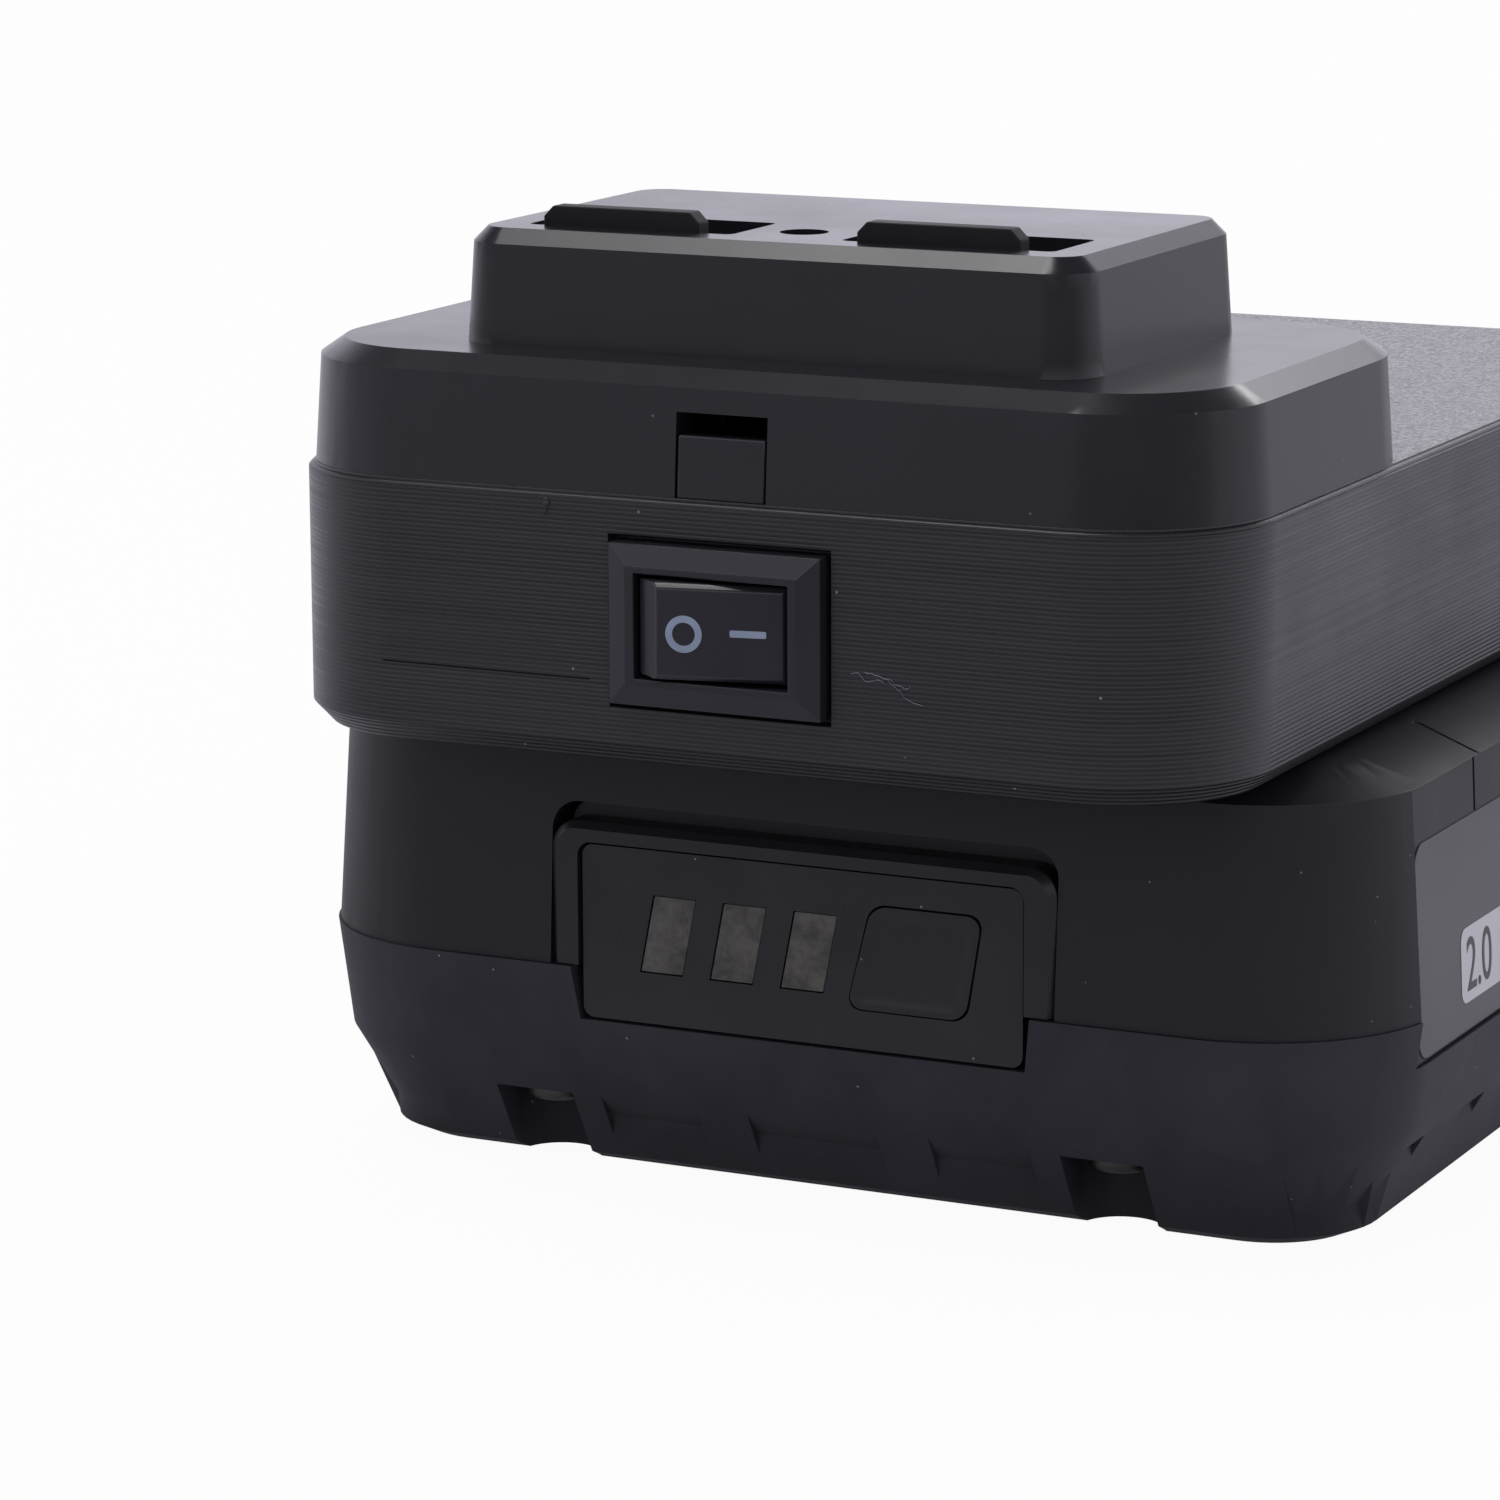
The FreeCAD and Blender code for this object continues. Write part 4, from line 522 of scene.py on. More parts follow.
def pick_edges(piece: Piece, test: Callable[[Vector, Vector], bool]) -> None:
    """Open a piece with the edges selected whose two ends pass a test."""
    points = piece.data.vertices
    pick(piece, "EDGE", piece.data.edges, lambda edge: test(*(points[number].co for number in edge.vertices)))


def draw_out(across: float, along: float, up: float) -> None:
    """Extrude what is selected by a step, in millimetres."""
    bpy.ops.mesh.extrude_region_move(TRANSFORM_OT_translate={"value": (across * MM, along * MM, up * MM)})


def moved(across: float, along: float, up: float) -> Matrix:
    """A move, in millimetres."""
    return Matrix.Translation(Vector((across, along, up)) * MM)


def face_outwards(piece: Piece) -> None:
    """Turn all faces of a piece outwards.

    Args:
        piece: The piece to turn.
    """
    start_edit(piece)
    bpy.ops.mesh.normals_make_consistent(inside=False)
    end_edit()


def apply_place(piece: Piece) -> None:
    """Move a piece's place into its mesh."""
    alone(piece)
    bpy.ops.object.transform_apply(location=True, rotation=True, scale=True)


def modify(piece: Piece, kind: str, **settings: object) -> None:
    """Add a modifier to a piece and apply it.

    Args:
        piece: The piece to change.
        kind: Blender's name for the modifier.
        settings: Properties of the modifier.
    """
    alone(piece)
    bpy.ops.object.modifier_add(type=kind)
    modifier = piece.modifiers[-1]
    for name, setting in settings.items():
        setattr(modifier, name, setting)
    bpy.ops.object.modifier_apply(modifier=modifier.name)


def soften(piece: Piece, width: float, steps: int = 2, angle: float = 32.0,
           edge_finish: int = -1, even: bool = False) -> None:
    """Round a piece's sharp edges and keep its flats flat.

    Args:
        piece: The piece to finish.
        width: Width of the rounding in millimetres.
        steps: Strips across each rounding.
        angle: Only edges sharper than this are rounded, in degrees.
        edge_finish: Material slot of the rounded strips, or -1 for the one beside them.
        even: Whether round corners made of slim triangles are shaded evenly.
    """
    modify(piece, "BEVEL", width=width * MM, segments=steps, limit_method="ANGLE", angle_limit=math.radians(angle),
           miter_outer="MITER_ARC", use_clamp_overlap=True, material=edge_finish)
    smooth(piece, angle, even)


def smooth(piece: Piece, angle: float = 32.0, even: bool = False) -> None:
    """Shade a piece smooth below an angle, with normals that follow its large faces.

    Args:
        piece: The piece to shade.
        angle: Edges sharper than this stay sharp, in degrees.
        even: Whether a face's corner counts as well as its area.
    """
    alone(piece)
    bpy.ops.object.shade_smooth_by_angle(angle=math.radians(angle))
    modify(piece, "WEIGHTED_NORMAL", keep_sharp=True, mode="FACE_AREA_WITH_ANGLE" if even else "FACE_AREA")


def set_finish(piece: Piece, *finishes: Finish) -> None:
    """Give a piece its finishes.

    Args:
        piece: The piece to dress.
        finishes: One finish for each slot, in order.
    """
    piece.data.materials.clear()
    for finish in finishes:
        piece.data.materials.append(finish.material())


def hand_over(piece: Piece, body: str, slot: str, *nodes: str) -> None:
    """Let a piece ride on a body and stand for CAD nodes.

    Args:
        piece: The finished piece.
        body: The body that it moves with.
        slot: The record's material slot; not used.
        nodes: CAD nodes that it stands for.
    """
    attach(piece, body)
    if nodes:
        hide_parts(*nodes)
    LOG.info("%s on %s: %d faces", piece.name, body, len(piece.data.polygons))


def merged_copy(node: str) -> Piece:
    """A copy of a CAD node with its points merged and its flat faces joined.

    Args:
        node: Name of the CAD node.

    Returns:
        The copy, ready to be shaped.
    """
    piece = put(f"{node}_finished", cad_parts[node].data.copy())
    alone(piece)
    bpy.ops.mesh.customdata_custom_splitnormals_clear()
    start_edit(piece, "VERT")
    bpy.ops.mesh.remove_doubles(threshold=0.002 * MM)
    bpy.ops.mesh.dissolve_limited(angle_limit=math.radians(0.6))
    end_edit()
    return piece


@dataclass
class DressedNode:
    """A CAD node whose copy gets rounded edges and a finish with worn edges."""

    node: str
    body: str
    slot: str
    finish: Finish
    edge_finish: Finish | None = None
    rounding: float = 0.2
    steps: int = 2
    crease: float = 32.0

    def make(self) -> None:
        """Copy, round and finish the node, and stand it in the node's place."""
        piece = merged_copy(self.node)
        finishes = [finish for finish in (self.finish, self.edge_finish) if finish]
        set_finish(piece, *finishes)
        soften(piece, self.rounding, self.steps, self.crease, 1 if self.edge_finish else -1)
        hand_over(piece, self.body, self.slot, self.node)


# Sub-assemblies
@dataclass
class PrintedBody:
    """The adapter's printed body: rounded edges, a pebbled top, a slit and stray filament."""

    slit_low: float = -24.3
    slit_high: float = -8.9
    slit_height: float = 37.8
    slit_width: float = 0.13
    slit_depth: float = 0.35
    threads: tuple[Spot, ...] = ((9.7, 39.7, 2.6), (10.6, 39.9, 3.6), (12.0, 39.6, 3.2), (-5.2, 46.6, 1.3))
    thread_radius: float = 0.028
    thread_proud: float = 0.03
    thread_steps: int = 14
    scar_across: float = -12.0
    scar_drop: float = 1.0
    scar_radius: float = 0.32
    scar_sink: float = 0.12
    seed: int = 12

    def make(self) -> None:
        """Build the body and what the printer left on it."""
        body = merged_copy("printed_body")
        self.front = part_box("printed_body")[0].y
        self.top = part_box("top_cover")[0].z
        set_finish(body, Finish.PRINT, Finish.PRINT_TOP)
        soften(body, 0.18, 2)
        self.cut_slit_edges(body)
        self.open_slit(body)
        self.dress_top(body)
        smooth(body)
        hand_over(body, "adapter", "printed_plastic", "printed_body")
        self.make_strings()
        self.make_scar()

    def bisect(self, spot: Spot, normal: Spot) -> None:
        """Cut new edges where a plane through a spot meets the whole open piece."""
        bpy.ops.mesh.select_all(action="SELECT")
        bpy.ops.mesh.bisect(plane_co=spot, plane_no=normal)

    def cut_slit_edges(self, body: Piece) -> None:
        """Cut the body along the slit's two ends and its two long edges.

        Args:
            body: The printed body's copy.
        """
        start_edit(body, "VERT")
        for across in (self.slit_low, self.slit_high):
            self.bisect((across * MM, 0.0, 0.0), (1.0, 0.0, 0.0))
        for side in (-1, 1):
            self.bisect((0.0, 0.0, (self.slit_height + side * self.slit_width / 2) * MM), (0.0, 0.0, 1.0))
        end_edit()

    def open_slit(self, body: Piece) -> None:
        """Sink the strip of the front wall between those edges.

        Args:
            body: The printed body's copy.
        """
        pick_faces(body, lambda face: face.normal.y < -0.9 and face.center.y < self.front + 0.2 * MM
                   and abs(face.center.z - self.slit_height * MM) < 0.02 * MM
                   and self.slit_low * MM < face.center.x < self.slit_high * MM)
        draw_out(0.0, self.slit_depth, 0.0)
        end_edit()

    def dress_top(self, body: Piece) -> None:
        """Give the level top faces the pebbled finish."""
        for face in body.data.polygons:
            face.material_index = int(face.normal.z > 0.9 and face.center.z > self.top - 0.05 * MM)

    def make_strings(self) -> None:
        """Stray threads of filament on the front wall, each drawn out step by step from a small disc."""
        chance = random.Random(self.seed)
        for number, (across, height, length) in enumerate(self.threads):
            thread = fresh(bpy.ops.mesh.primitive_circle_add, vertices=6, radius=self.thread_radius * MM,
                           fill_type="NGON", rotation=(0.0, math.pi / 2, 0.0),
                           location=(across * MM, self.front - self.thread_proud * MM, height * MM))
            thread.name = f"stray_thread_{number + 1}"
            apply_place(thread)
            start_edit(thread)
            heading = chance.uniform(-0.4, 0.4)
            step = length / self.thread_steps
            for _ in range(self.thread_steps):
                heading = 0.75 * heading + chance.uniform(-0.7, 0.7)
                draw_out(step * abs(math.cos(heading)), 0.0, step * math.sin(heading))
            end_edit()
            face_outwards(thread)
            set_finish(thread, Finish.THREAD)
            smooth(thread, 60.0)
            hand_over(thread, "adapter", "printed_plastic")

    def make_scar(self) -> None:
        """The blob where the top layers of the print start and end."""
        centre = Vector((self.scar_across * MM, self.front, self.top - self.scar_drop * MM))
        scar = fresh(bpy.ops.mesh.primitive_ico_sphere_add, subdivisions=3, radius=self.scar_radius * MM,
                     location=centre + Vector((0.0, self.scar_sink * MM, 0.0)))
        scar.name = "layer_start_blob"
        scar.scale = (0.7, 0.9, 2.2)
        apply_place(scar)
        pick_points(scar, lambda spot: spot.x > centre.x + 0.05 * MM and spot.z > centre.z)
        bpy.ops.transform.translate(value=(0.16 * MM, -0.05 * MM, -0.12 * MM))
        end_edit()
        set_finish(scar, Finish.PRINT)
        smooth(scar, 50.0)
        hand_over(scar, "adapter", "printed_plastic")


@dataclass
class RockerMarks:
    """The raised ring and bar on the rocker's face."""

    pivot_across: float = 0.4
    pivot_along: float = -65.73
    height: float = 41.77
    tilt: float = 11.0
    face: float = 4.0
    thickness: float = 0.04
    ring_across: float = -2.35
    ring_height: float = -0.08
    ring_radius: float = 1.2
    stroke: float = 0.45
    bar_across: float = 1.88
    bar_height: float = 0.08
    bar_length: float = 2.4

    def make(self) -> None:
        """Build the ring and the bar."""
        self.seat(self.ring(), "mark_off", self.ring_across, self.ring_height)
        self.seat(self.bar(), "mark_on", self.bar_across, self.bar_height)

    def ring(self) -> Piece:
        """Build a disc whose middle is inset and deleted.

        Returns:
            The ring.
        """
        ring = fresh(bpy.ops.mesh.primitive_circle_add, vertices=48, radius=self.ring_radius * MM,
                     fill_type="NGON", rotation=(math.pi / 2, 0.0, 0.0))
        apply_place(ring)
        start_edit(ring)
        bpy.ops.mesh.inset(thickness=self.stroke * MM)
        bpy.ops.mesh.delete(type="FACE")
        bpy.ops.mesh.select_all(action="SELECT")
        draw_out(0.0, -self.thickness, 0.0)
        end_edit()
        return ring

    def bar(self) -> Piece:
        """Build a flat bar with rounded ends.

        Returns:
            The bar.
        """
        bar = fresh(bpy.ops.mesh.primitive_plane_add, size=1.0, rotation=(math.pi / 2, 0.0, 0.0))
        bar.scale = (self.bar_length * MM, self.stroke * MM, 1.0)
        apply_place(bar)
        start_edit(bar, "VERT")
        bpy.ops.mesh.bevel(offset=0.1 * MM, segments=3, affect="VERTICES")
        draw_out(0.0, -self.thickness, 0.0)
        end_edit()
        return bar

    def seat(self, mark: Piece, name: str, across: float, up: float) -> None:
        """Stand a flat mark on the tilted face and give it its finish.

        Args:
            mark: The mark, drawn about the origin.
            name: Name of the piece.
            across: Its place along the face in millimetres.
            up: Its place above the pivot in millimetres.
        """
        mark.name = name
        tilt = Matrix.Rotation(math.radians(self.tilt), 4, "Z")
        pivot = moved(self.pivot_across, self.pivot_along, self.height)
        mark.data.transform(pivot @ tilt @ moved(across, -self.face, up))
        face_outwards(mark)
        set_finish(mark, Finish.MARK)
        smooth(mark, 40.0)
        hand_over(mark, "rocker", "switch_plastic")


@dataclass
class GaugeButton:
    """The gauge's button with a dished face."""

    corner: float = 1.1
    dish_rim: float = 0.35
    dish_depth: float = 0.22
    dish_steps: int = 5
    dish_taper: float = 0.95

    def make(self) -> None:
        """Dish the front of the button's copy."""
        button = merged_copy("gauge_button")
        low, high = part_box("gauge_button")
        middle = (low + high) / 2
        set_finish(button, Finish.GAUGE)
        pick_edges(button, lambda first, second: abs(first.y - second.y) > 1.0 * MM
                   and max(first.y, second.y) < low.y + 3.5 * MM)
        bpy.ops.mesh.bevel(offset=self.corner * MM, segments=5)
        end_edit()
        pick_faces(button, lambda face: face.normal.y < -0.98 and face.center.y < low.y + 0.1 * MM)
        bpy.ops.mesh.inset(thickness=self.dish_rim * MM)
        for step in range(self.dish_steps):
            share = math.cos(math.pi / 2 * (step + 0.5) / self.dish_steps)
            draw_out(0.0, share * self.dish_depth / self.dish_steps, 0.0)
            bpy.ops.transform.resize(value=(self.dish_taper, 1.0, self.dish_taper), center_override=middle)
        end_edit()
        smooth(button, 40.0)
        hand_over(button, "gauge_button", "gauge_plastic", "gauge_button")


@dataclass
class GaugePanel:
    """The gauge's thin front panel, with round corners at the button's opening."""

    button_left: float = 3.3
    button_right: float = 12.2
    corner: float = 1.1

    def make(self) -> None:
        """Round the opening's corners and give the panel its finish."""
        panel = merged_copy("gauge_panel")
        low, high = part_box("gauge_panel")
        set_finish(panel, Finish.PANEL)
        pick_edges(panel, lambda first, second: abs(first.y - second.y) > 1.0 * MM
                   and self.button_left * MM < first.x < (self.button_right + 1.5) * MM
                   and low.z + 1.0 * MM < first.z < high.z - 1.0 * MM)
        bpy.ops.mesh.bevel(offset=self.corner * MM, segments=5)
        bpy.ops.mesh.select_all(action="SELECT")
        bpy.ops.mesh.vert_connect_concave()
        end_edit()
        smooth(panel)
        hand_over(panel, "battery", "gauge_plastic", "gauge_panel")


@dataclass
class LabelPrint:
    """The pale box and figures printed on the right label."""

    front: float = -36.9
    low: float = 14.1
    box_height: float = 5.1
    box_length: float = 15.0
    corner: float = 0.9
    face: float = 39.64
    proud: float = 0.03
    thickness: float = 0.02
    lean: float = 0.048
    number: str = "2.0"
    number_size: float = 5.2
    number_width: float = 0.82
    number_across: float = 0.9
    number_up: float = 0.75

    def make(self) -> None:
        """Build the box and the figures that stand in it."""
        self.slope = math.atan(self.lean)
        self.seat_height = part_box("lower_shell")[1].z / MM
        self.seat(self.flat_box(), "label_box", Finish.LABEL_PRINT, self.proud)
        self.seat(self.figures(), "label_figures", Finish.GAUGE, 2 * self.proud)

    def flat_box(self) -> Piece:
        """Build a flat sheet with round corners, drawn in the plane of the label.

        Returns:
            The sheet.
        """
        box = fresh(bpy.ops.mesh.primitive_plane_add, size=1.0)
        box.scale = (self.box_length * MM, self.box_height * MM, 1.0)
        box.location = (self.box_length / 2 * MM, self.box_height / 2 * MM, 0.0)
        apply_place(box)
        start_edit(box, "VERT")
        bpy.ops.mesh.bevel(offset=self.corner * MM, segments=5, affect="VERTICES")
        end_edit()
        return box

    def figures(self) -> Piece:
        """Build the number as a mesh.

        Returns:
            The figures.
        """
        text = fresh(bpy.ops.object.text_add)
        text.data.body = self.number
        text.data.size = self.number_size * MM
        text.scale = (self.number_width, 1.0, 1.0)
        text.location = (self.number_across * MM, self.number_up * MM, 0.0)
        bpy.ops.object.convert(target="MESH")
        figures = bpy.context.active_object
        apply_place(figures)
        return figures

    def seat(self, print_piece: Piece, name: str, finish: Finish, proud: float) -> None:
        """Stand a flat print on the leaning label, just proud of it.

        Args:
            print_piece: The print, drawn in the XY plane.
            name: Name of the piece.
            finish: Its finish.
            proud: How far it stands off the label, in millimetres.
        """
        print_piece.name = name
        modify(print_piece, "SOLIDIFY", thickness=self.thickness * MM)
        upright = Matrix(((0.0, 0.0, 1.0), (1.0, 0.0, 0.0), (0.0, 1.0, 0.0))).to_4x4()
        lean = Matrix.Rotation(-self.slope, 4, "Y")
        place = moved(self.face + proud, self.front, self.seat_height)
        print_piece.data.transform(place @ lean @ moved(0.0, 0.0, self.low - self.seat_height) @ upright)
        set_finish(print_piece, finish)
        smooth(print_piece, 40.0)
        hand_over(print_piece, "battery", "label_film")


@dataclass
class CaseScrews:
    """Four pan-head screws with six-lobed recesses, under the pack."""

    across: float = 21.05
    along: float = 50.5
    head_low: float = 4.3
    head_high: float = 5.6
    head_radius: float = 2.3
    recess_radius: float = 1.3
    recess_depth: float = 0.9
    shank_radius: float = 1.2
    shank_length: float = 9.0
    head_rounding: float = 0.7
    lobe_gap: float = 0.78
    sides: int = 36

    def make(self) -> None:
        """Model one screw and copy it to its four places."""
        first = self.model()
        spots = [(x, y) for y in (-self.along, self.along) for x in (-self.across, self.across)]
        for number, (across, along) in enumerate(spots):
            screw = first if number == 0 else put("case_screw_copy", first.data.copy())
            screw.name = f"case_screw_{number + 1}"
            screw.data.transform(moved(across - spots[0][0], along - spots[0][1], 0.0))
            set_finish(screw, Finish.STEEL)
            smooth(screw, 35.0)
            replaced = ("case_screws",) if number == 0 else ()
            hand_over(screw, "battery", "steel", *replaced)

    def model(self) -> Piece:
        """Build one screw: a turned head with a lobed recess, and a shank.

        Returns:
            The screw at its first place.
        """
        height = self.head_high - self.head_low
        screw = fresh(bpy.ops.mesh.primitive_cylinder_add, vertices=self.sides, radius=self.head_radius * MM,
                      depth=height * MM,
                      location=(-self.across * MM, -self.along * MM, (self.head_low + height / 2) * MM))
        apply_place(screw)
        centre = Vector((-self.across, -self.along, self.head_low)) * MM
        pick_faces(screw, lambda face: face.normal.z > 0.9)
        bpy.ops.mesh.inset(thickness=(self.head_radius - self.shank_radius) * MM)
        draw_out(0.0, 0.0, self.shank_length)
        end_edit()
        pick_edges(screw, lambda first, second: max(first.z, second.z) < centre.z + 1e-6)
        bpy.ops.mesh.bevel(offset=self.head_rounding * MM, segments=4)
        end_edit()
        pick_faces(screw, lambda face: face.normal.z < -0.99 and face.center.z < centre.z + 1e-5)
        bpy.ops.mesh.inset(thickness=(self.head_radius - self.head_rounding - self.recess_radius) * MM)
        bpy.ops.mesh.inset(thickness=0.02 * MM)
        end_edit()

        def between_lobes(spot: Vector) -> bool:
            """Whether a point of the recess's ring lies between two lobes.

            Args:
                spot: The point.

            Returns:
                True between two lobes.
            """
            flat = Vector((spot.x - centre.x, spot.y - centre.y))
            turn = (math.degrees(math.atan2(flat.y, flat.x)) + 360.0) % 60.0
            return spot.z < centre.z + 1e-5 and flat.length < (self.recess_radius - 0.01) * MM and 15 < turn < 45

        pick_points(screw, between_lobes)
        bpy.ops.transform.resize(value=(self.lobe_gap, self.lobe_gap, 1.0), center_override=centre)
        end_edit()
        pick_faces(screw, lambda face: face.normal.z < -0.99 and len(face.vertices) >= self.sides
                   and face.center.z < centre.z + 1e-5)
        draw_out(0.0, 0.0, self.recess_depth)
        end_edit()
        return screw


@dataclass
class FootShell:
    """The rubbery lower shell, whose foot stands a little wider at the sides."""

    foot_level: float = 1.0
    side_start: float = 28.0
    spread: float = 1.03

    def make(self) -> None:
        """Widen the foot of the shell's copy, round its edges and finish it."""
        shell = merged_copy("lower_shell")
        set_finish(shell, Finish.FOOT, Finish.FOOT_EDGE)
        pick_points(shell, lambda spot: spot.z < self.foot_level * MM and abs(spot.x) > self.side_start * MM)
        bpy.ops.transform.resize(value=(self.spread, 1.0, 1.0), center_override=(0.0, 0.0, 0.0))
        end_edit()
        soften(shell, 0.45, 3, edge_finish=1, even=True)
        hand_over(shell, "battery", "foot_rubber", "lower_shell")


@dataclass
class Covers:
    """The shells and trims that keep the CAD's shape and get rounded, worn edges."""

    def make(self) -> None:
        """Dress each outer node."""
        rows = (
            ("top_cover", "adapter", "cover_plastic", Finish.COVER, Finish.COVER_EDGE, 0.22, 3),
            ("snap_tab", "adapter", "cover_plastic", Finish.COVER, Finish.COVER_EDGE, 0.15),
            ("upper_shell", "battery", "pack_plastic", Finish.PACK, Finish.PACK_EDGE, 0.35, 3),
            ("gauge_bezel", "battery", "gauge_plastic", Finish.GAUGE, Finish.PACK_EDGE, 0.25, 3),
            ("switch_frame", "adapter", "switch_plastic", Finish.SWITCH, Finish.COVER_EDGE, 0.10, 2, 14.0),
            ("rocker", "rocker", "switch_plastic", Finish.SWITCH, Finish.COVER_EDGE, 0.15, 3),
            *((plug, plug, "plug_rubber", Finish.PLUG, None, 0.30, 3)
              for plug in ("dust_plug_left", "dust_plug_right")),
            ("release_button", "release_button", "pack_plastic", Finish.PACK, Finish.PACK_EDGE, 0.4, 3),
            ("label_right", "battery", "label_film", Finish.LABEL, None, 0.05, 1),
            *((shell, "adapter", "socket_steel", Finish.SOCKET, None, 0.1)
              for shell in ("usb_shell_left", "usb_shell_right")),
            *((tongue, "adapter", "tongue_plastic", Finish.TONGUE, None, 0.12)
              for tongue in ("usb_tongue_left", "usb_tongue_right")),
            ("light_pipe", "adapter", "clear_plastic", Finish.LENS, None, 0.6, 5),
            ("cell_holder", "battery", "holder_plastic", Finish.HOLDER, None, 0.2, 1),
            ("power_coil", "adapter", "component_plastic", Finish.PART, None, 1.2, 4),
            *((f"gauge_window_{number}", "battery", "gauge_window", Finish.BAR, None, 0.12)
              for number in (1, 2, 3)),
        )
        for row in rows:
            DressedNode(*row).make()


@dataclass
class Inside:
    """Inner pieces that keep their CAD meshes and get their own finishes."""

    def make(self) -> None:
        """Give each inner node its finish."""
        finishes = {
            Finish.BOARD: ("gauge_board", "management_board", "converter_board"),
            Finish.NICKEL: ("nickel_strips_left", "nickel_strips_right"),
            Finish.BRASS: ("battery_contacts", "switch_lugs", "terminal_blades",
                           "usb_contacts_left", "usb_contacts_right"),
            Finish.PART: ("terminal_block", "regulator_chip"),
            Finish.STEEL: ("board_screws",),
            Finish.SOCKET: ("capacitor_left", "capacitor_right"),
            Finish.CELL: tuple(f"cell_{number}" for number in range(1, 6)),
        }
        for finish, nodes in finishes.items():
            for node in nodes:
                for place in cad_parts[node].material_slots:
                    place.material = finish.material()
                LOG.info("%s keeps its CAD mesh", node)


# Stage
@dataclass
class Stage:
    """White floor and world, and the soft lamps of the studio.

    Each reach is a start and an end in metres, or on the unit sphere for the world.
    """

    floor_size: float = 8.0
    floor_white: Shade = (0.88, 0.88, 0.88)
    glow_share: float = 0.95
    glow_limit: float = 0.9
    # Levels and reaches of the floor's glow in reflections, which carries painted shade in front, painted light
    # round and left of the object and a painted shadow under it.
    floor_front: float = 0.24
    floor_back: float = 0.62
    floor_painted_light_near: float = 1.5
    floor_left: float = 2.6
    floor_painted_shadow: float = 0.4
    depth_reach: Reach = (-0.11, 0.06)
    near_reach: Reach = (0.11, 0.19)
    left_reach: Reach = (-0.20, -0.11)
    side_reach: Reach = (0.034, 0.044)
    before_reach: Reach = (-0.078, -0.066)
    surround: float = 0.57
    behind: float = 1.14
    front_low: float = 0.28
    front_high: float = 1.15
    overhead: float = 0.16
    rising_reach: Reach = (0.08, 0.36)
    front_reach: Reach = (-0.55, 0.35)
    high_reach: Reach = (0.42, 0.62)
    tint: Shade = (0.93, 0.91, 1.03)
    aim: Spot = (0.0, -0.02, 0.035)

    def make(self) -> None:
        """Build the floor, the world and the lamps."""
        self.make_floor()
        self.make_world()
        self.lamp("back_softbox", (-0.16, 1.22, 0.78), (0.8, 0.14), 2.3)
        self.lamp("overhead_softbox", (-0.29, -0.25, 1.0), (0.34, 0.40), 2.9)

    def seen_white(self, nodes: Nodes, strength: Socket, emitter: str) -> bpy.types.Node:
        """An emitter that is plain white to the camera, and tinted, at a strength, to all else.

        Args:
            nodes: The tree that holds it.
            strength: Its strength for all rays but the camera's.
            emitter: Blender's name for its node type.

        Returns:
            The emitter.
        """
        camera = nodes.add("ShaderNodeLightPath").outputs["Is Camera Ray"]
        colour = nodes.blend(camera, self.tint, (1.0, 1.0, 1.0))
        return nodes.add(emitter, {"Strength": nodes.mix(camera, strength, 1.0), "Color": colour})

    def floor_glow(self, nodes: Nodes) -> Socket:
        """Brightness of the floor in reflections, with painted light and shade: painted shade in front, a painted
        bright band round the object and to its left, and a painted shadow under it.

        Args:
            nodes: The floor's tree.

        Returns:
            The strength.
        """
        place = nodes.add("ShaderNodeTexCoord").outputs["Object"]
        parts = nodes.split(place)
        reach = nodes.add("ShaderNodeVectorMath", {0: place}, operation="LENGTH")
        # Painted shade: the glow is dimmer in front of the object and brighter behind it.
        depth = nodes.span(parts["Y"], *self.depth_reach, self.floor_front, self.floor_back)
        # Painted light: a brighter band close round the object.
        near = nodes.span(reach.outputs["Value"], *self.near_reach, self.floor_painted_light_near)
        # Painted light: the glow is brighter to the object's left.
        left = nodes.span(parts["X"], *self.left_reach, self.floor_left)
        # Painted shadow: the glow drops beneath the object and just in front of it.
        beside = nodes.span(nodes.compute(parts["X"], 0.0, "ABSOLUTE"), *self.side_reach)
        before = nodes.span(parts["Y"], *self.before_reach, 1.0, 0.0)
        clear = nodes.span(nodes.compute(beside, before, "MAXIMUM"), 0.0, 1.0, self.floor_painted_shadow)
        level = nodes.compute(nodes.compute(depth, left, "MULTIPLY"), self.glow_limit, "MINIMUM")
        return nodes.compute(nodes.compute(level, near, "MULTIPLY"), clear, "MULTIPLY")

    def make_floor(self) -> None:
        """A pale floor that keeps the object's shadow."""
        floor = fresh(bpy.ops.mesh.primitive_plane_add, size=self.floor_size, location=(0.0, 0.0, -0.05 * MM))
        floor.name = "floor"
        material = bpy.data.materials.new("floor_white")
        material.use_nodes = True
        nodes = Nodes(material.node_tree)
        diffuse = nodes.add("ShaderNodeBsdfDiffuse", {"Color": self.floor_white})
        # The floor's glow in reflections carries painted light and a painted shadow.
        glow = self.seen_white(nodes, self.floor_glow(nodes), "ShaderNodeEmission")
        rays = nodes.add("ShaderNodeLightPath").outputs
        direct = nodes.compute(rays["Is Camera Ray"], rays["Is Glossy Ray"], "MAXIMUM")
        direct = nodes.compute(direct, rays["Is Transmission Ray"], "MAXIMUM")
        share = nodes.compute(direct, self.glow_share, "MULTIPLY")
        mix = nodes.add("ShaderNodeMixShader", {"Fac": share, 1: diffuse.outputs[0], 2: glow.outputs[0]})
        nodes.add("ShaderNodeOutputMaterial", {"Surface": mix.outputs[0]})
        floor.data.materials.append(material)

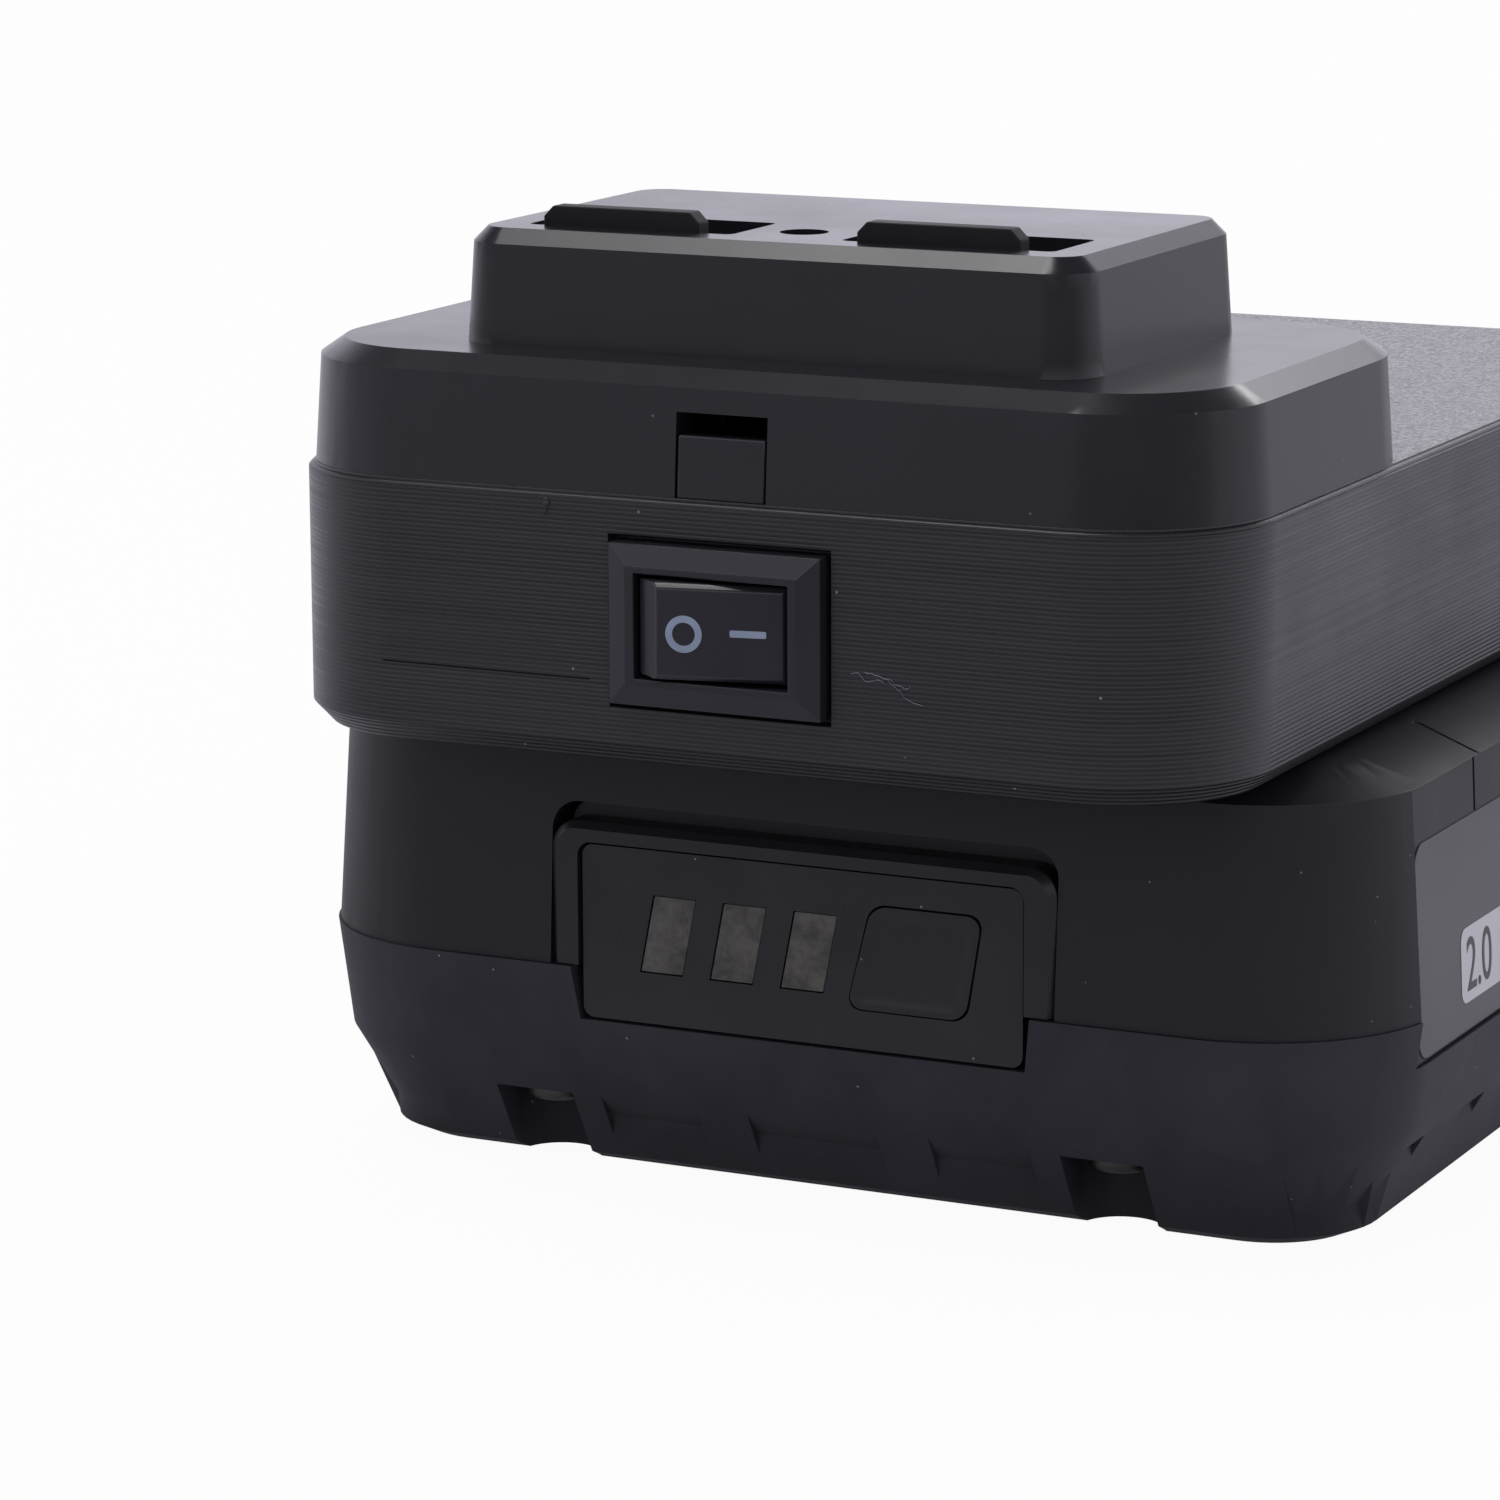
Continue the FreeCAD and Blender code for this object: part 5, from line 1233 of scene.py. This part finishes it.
    def make_world(self) -> None:
        """White all round to the camera, and in reflections dim in front, bright behind and dark overhead."""
        world = bpy.data.worlds.new("studio")
        bpy.context.scene.world = world
        world.use_nodes = True
        nodes = Nodes(world.node_tree)
        parts = nodes.split(nodes.add("ShaderNodeTexCoord").outputs["Generated"])
        rising = nodes.span(parts["Z"], *self.rising_reach, self.front_low, self.front_high)
        front = nodes.span(parts["Y"], *self.front_reach, rising, self.behind)
        high = nodes.span(parts["Z"], *self.high_reach, 1.0, self.overhead)
        glossy = nodes.add("ShaderNodeLightPath").outputs["Is Glossy Ray"]
        level = nodes.mix(glossy, self.surround, nodes.compute(front, high, "MULTIPLY"))
        background = self.seen_white(nodes, level, "ShaderNodeBackground")
        nodes.add("ShaderNodeOutputWorld", {"Surface": background.outputs[0]})

    def lamp(self, name: str, spot: Spot, size: Reach, power: float) -> None:
        """A soft lamp that faces the object.

        Args:
            name: Name of the lamp.
            spot: Where it stands, in metres.
            size: Its width and height in metres.
            power: Its power in watts.
        """
        light = bpy.data.lights.new(name, "AREA")
        light.shape = "RECTANGLE"
        light.size, light.size_y = size
        light.energy = power
        lamp = put(name, light)
        lamp.location = spot
        lamp.rotation_euler = (Vector(self.aim) - Vector(spot)).to_track_quat("-Z", "Y").to_euler()


@dataclass
class Viewpoint:
    """The photograph's camera."""

    place: Spot = (159.33, -384.97, 108.95)
    azimuth: float = 26.33
    elevation: float = 11.948
    roll: float = -0.285
    focal_pixels: float = 5680.0
    picture_pixels: float = 1500.0
    sensor: float = 36.0

    def make(self) -> None:
        """Set up the camera and make it the scene's."""
        turn, rise, roll = (math.radians(angle) for angle in (self.azimuth, self.elevation, self.roll))
        forward = Vector((-math.sin(turn) * math.cos(rise), math.cos(turn) * math.cos(rise), -math.sin(rise)))
        level = Vector((math.cos(turn), math.sin(turn), 0.0))
        upright = level.cross(forward)
        right = math.cos(roll) * level + math.sin(roll) * upright
        up = -math.sin(roll) * level + math.cos(roll) * upright
        lens = bpy.data.cameras.new("viewpoint")
        lens.lens = self.focal_pixels / self.picture_pixels * self.sensor
        lens.sensor_width = self.sensor
        lens.clip_start, lens.clip_end = 0.01, 20.0
        camera = put("viewpoint", lens)
        turned = Matrix((right, up, -forward)).transposed().to_4x4()
        camera.matrix_world = moved(*self.place) @ turned
        bpy.context.scene.camera = camera


def main() -> None:
    """Build every sub-assembly in order."""
    logging.basicConfig(level=logging.INFO, format="%(name)s: %(message)s")
    bpy.context.scene.view_settings.view_transform = "Standard"
    assemblies = (PrintedBody(), Covers(), FootShell(), GaugePanel(), GaugeButton(), RockerMarks(),
                  LabelPrint(), CaseScrews(), Inside())
    for assembly in assemblies:
        assembly.make()
        LOG.info("%s built", type(assembly).__name__)
    Stage().make()
    Viewpoint().make()


if __name__ == "__main__":
    main()
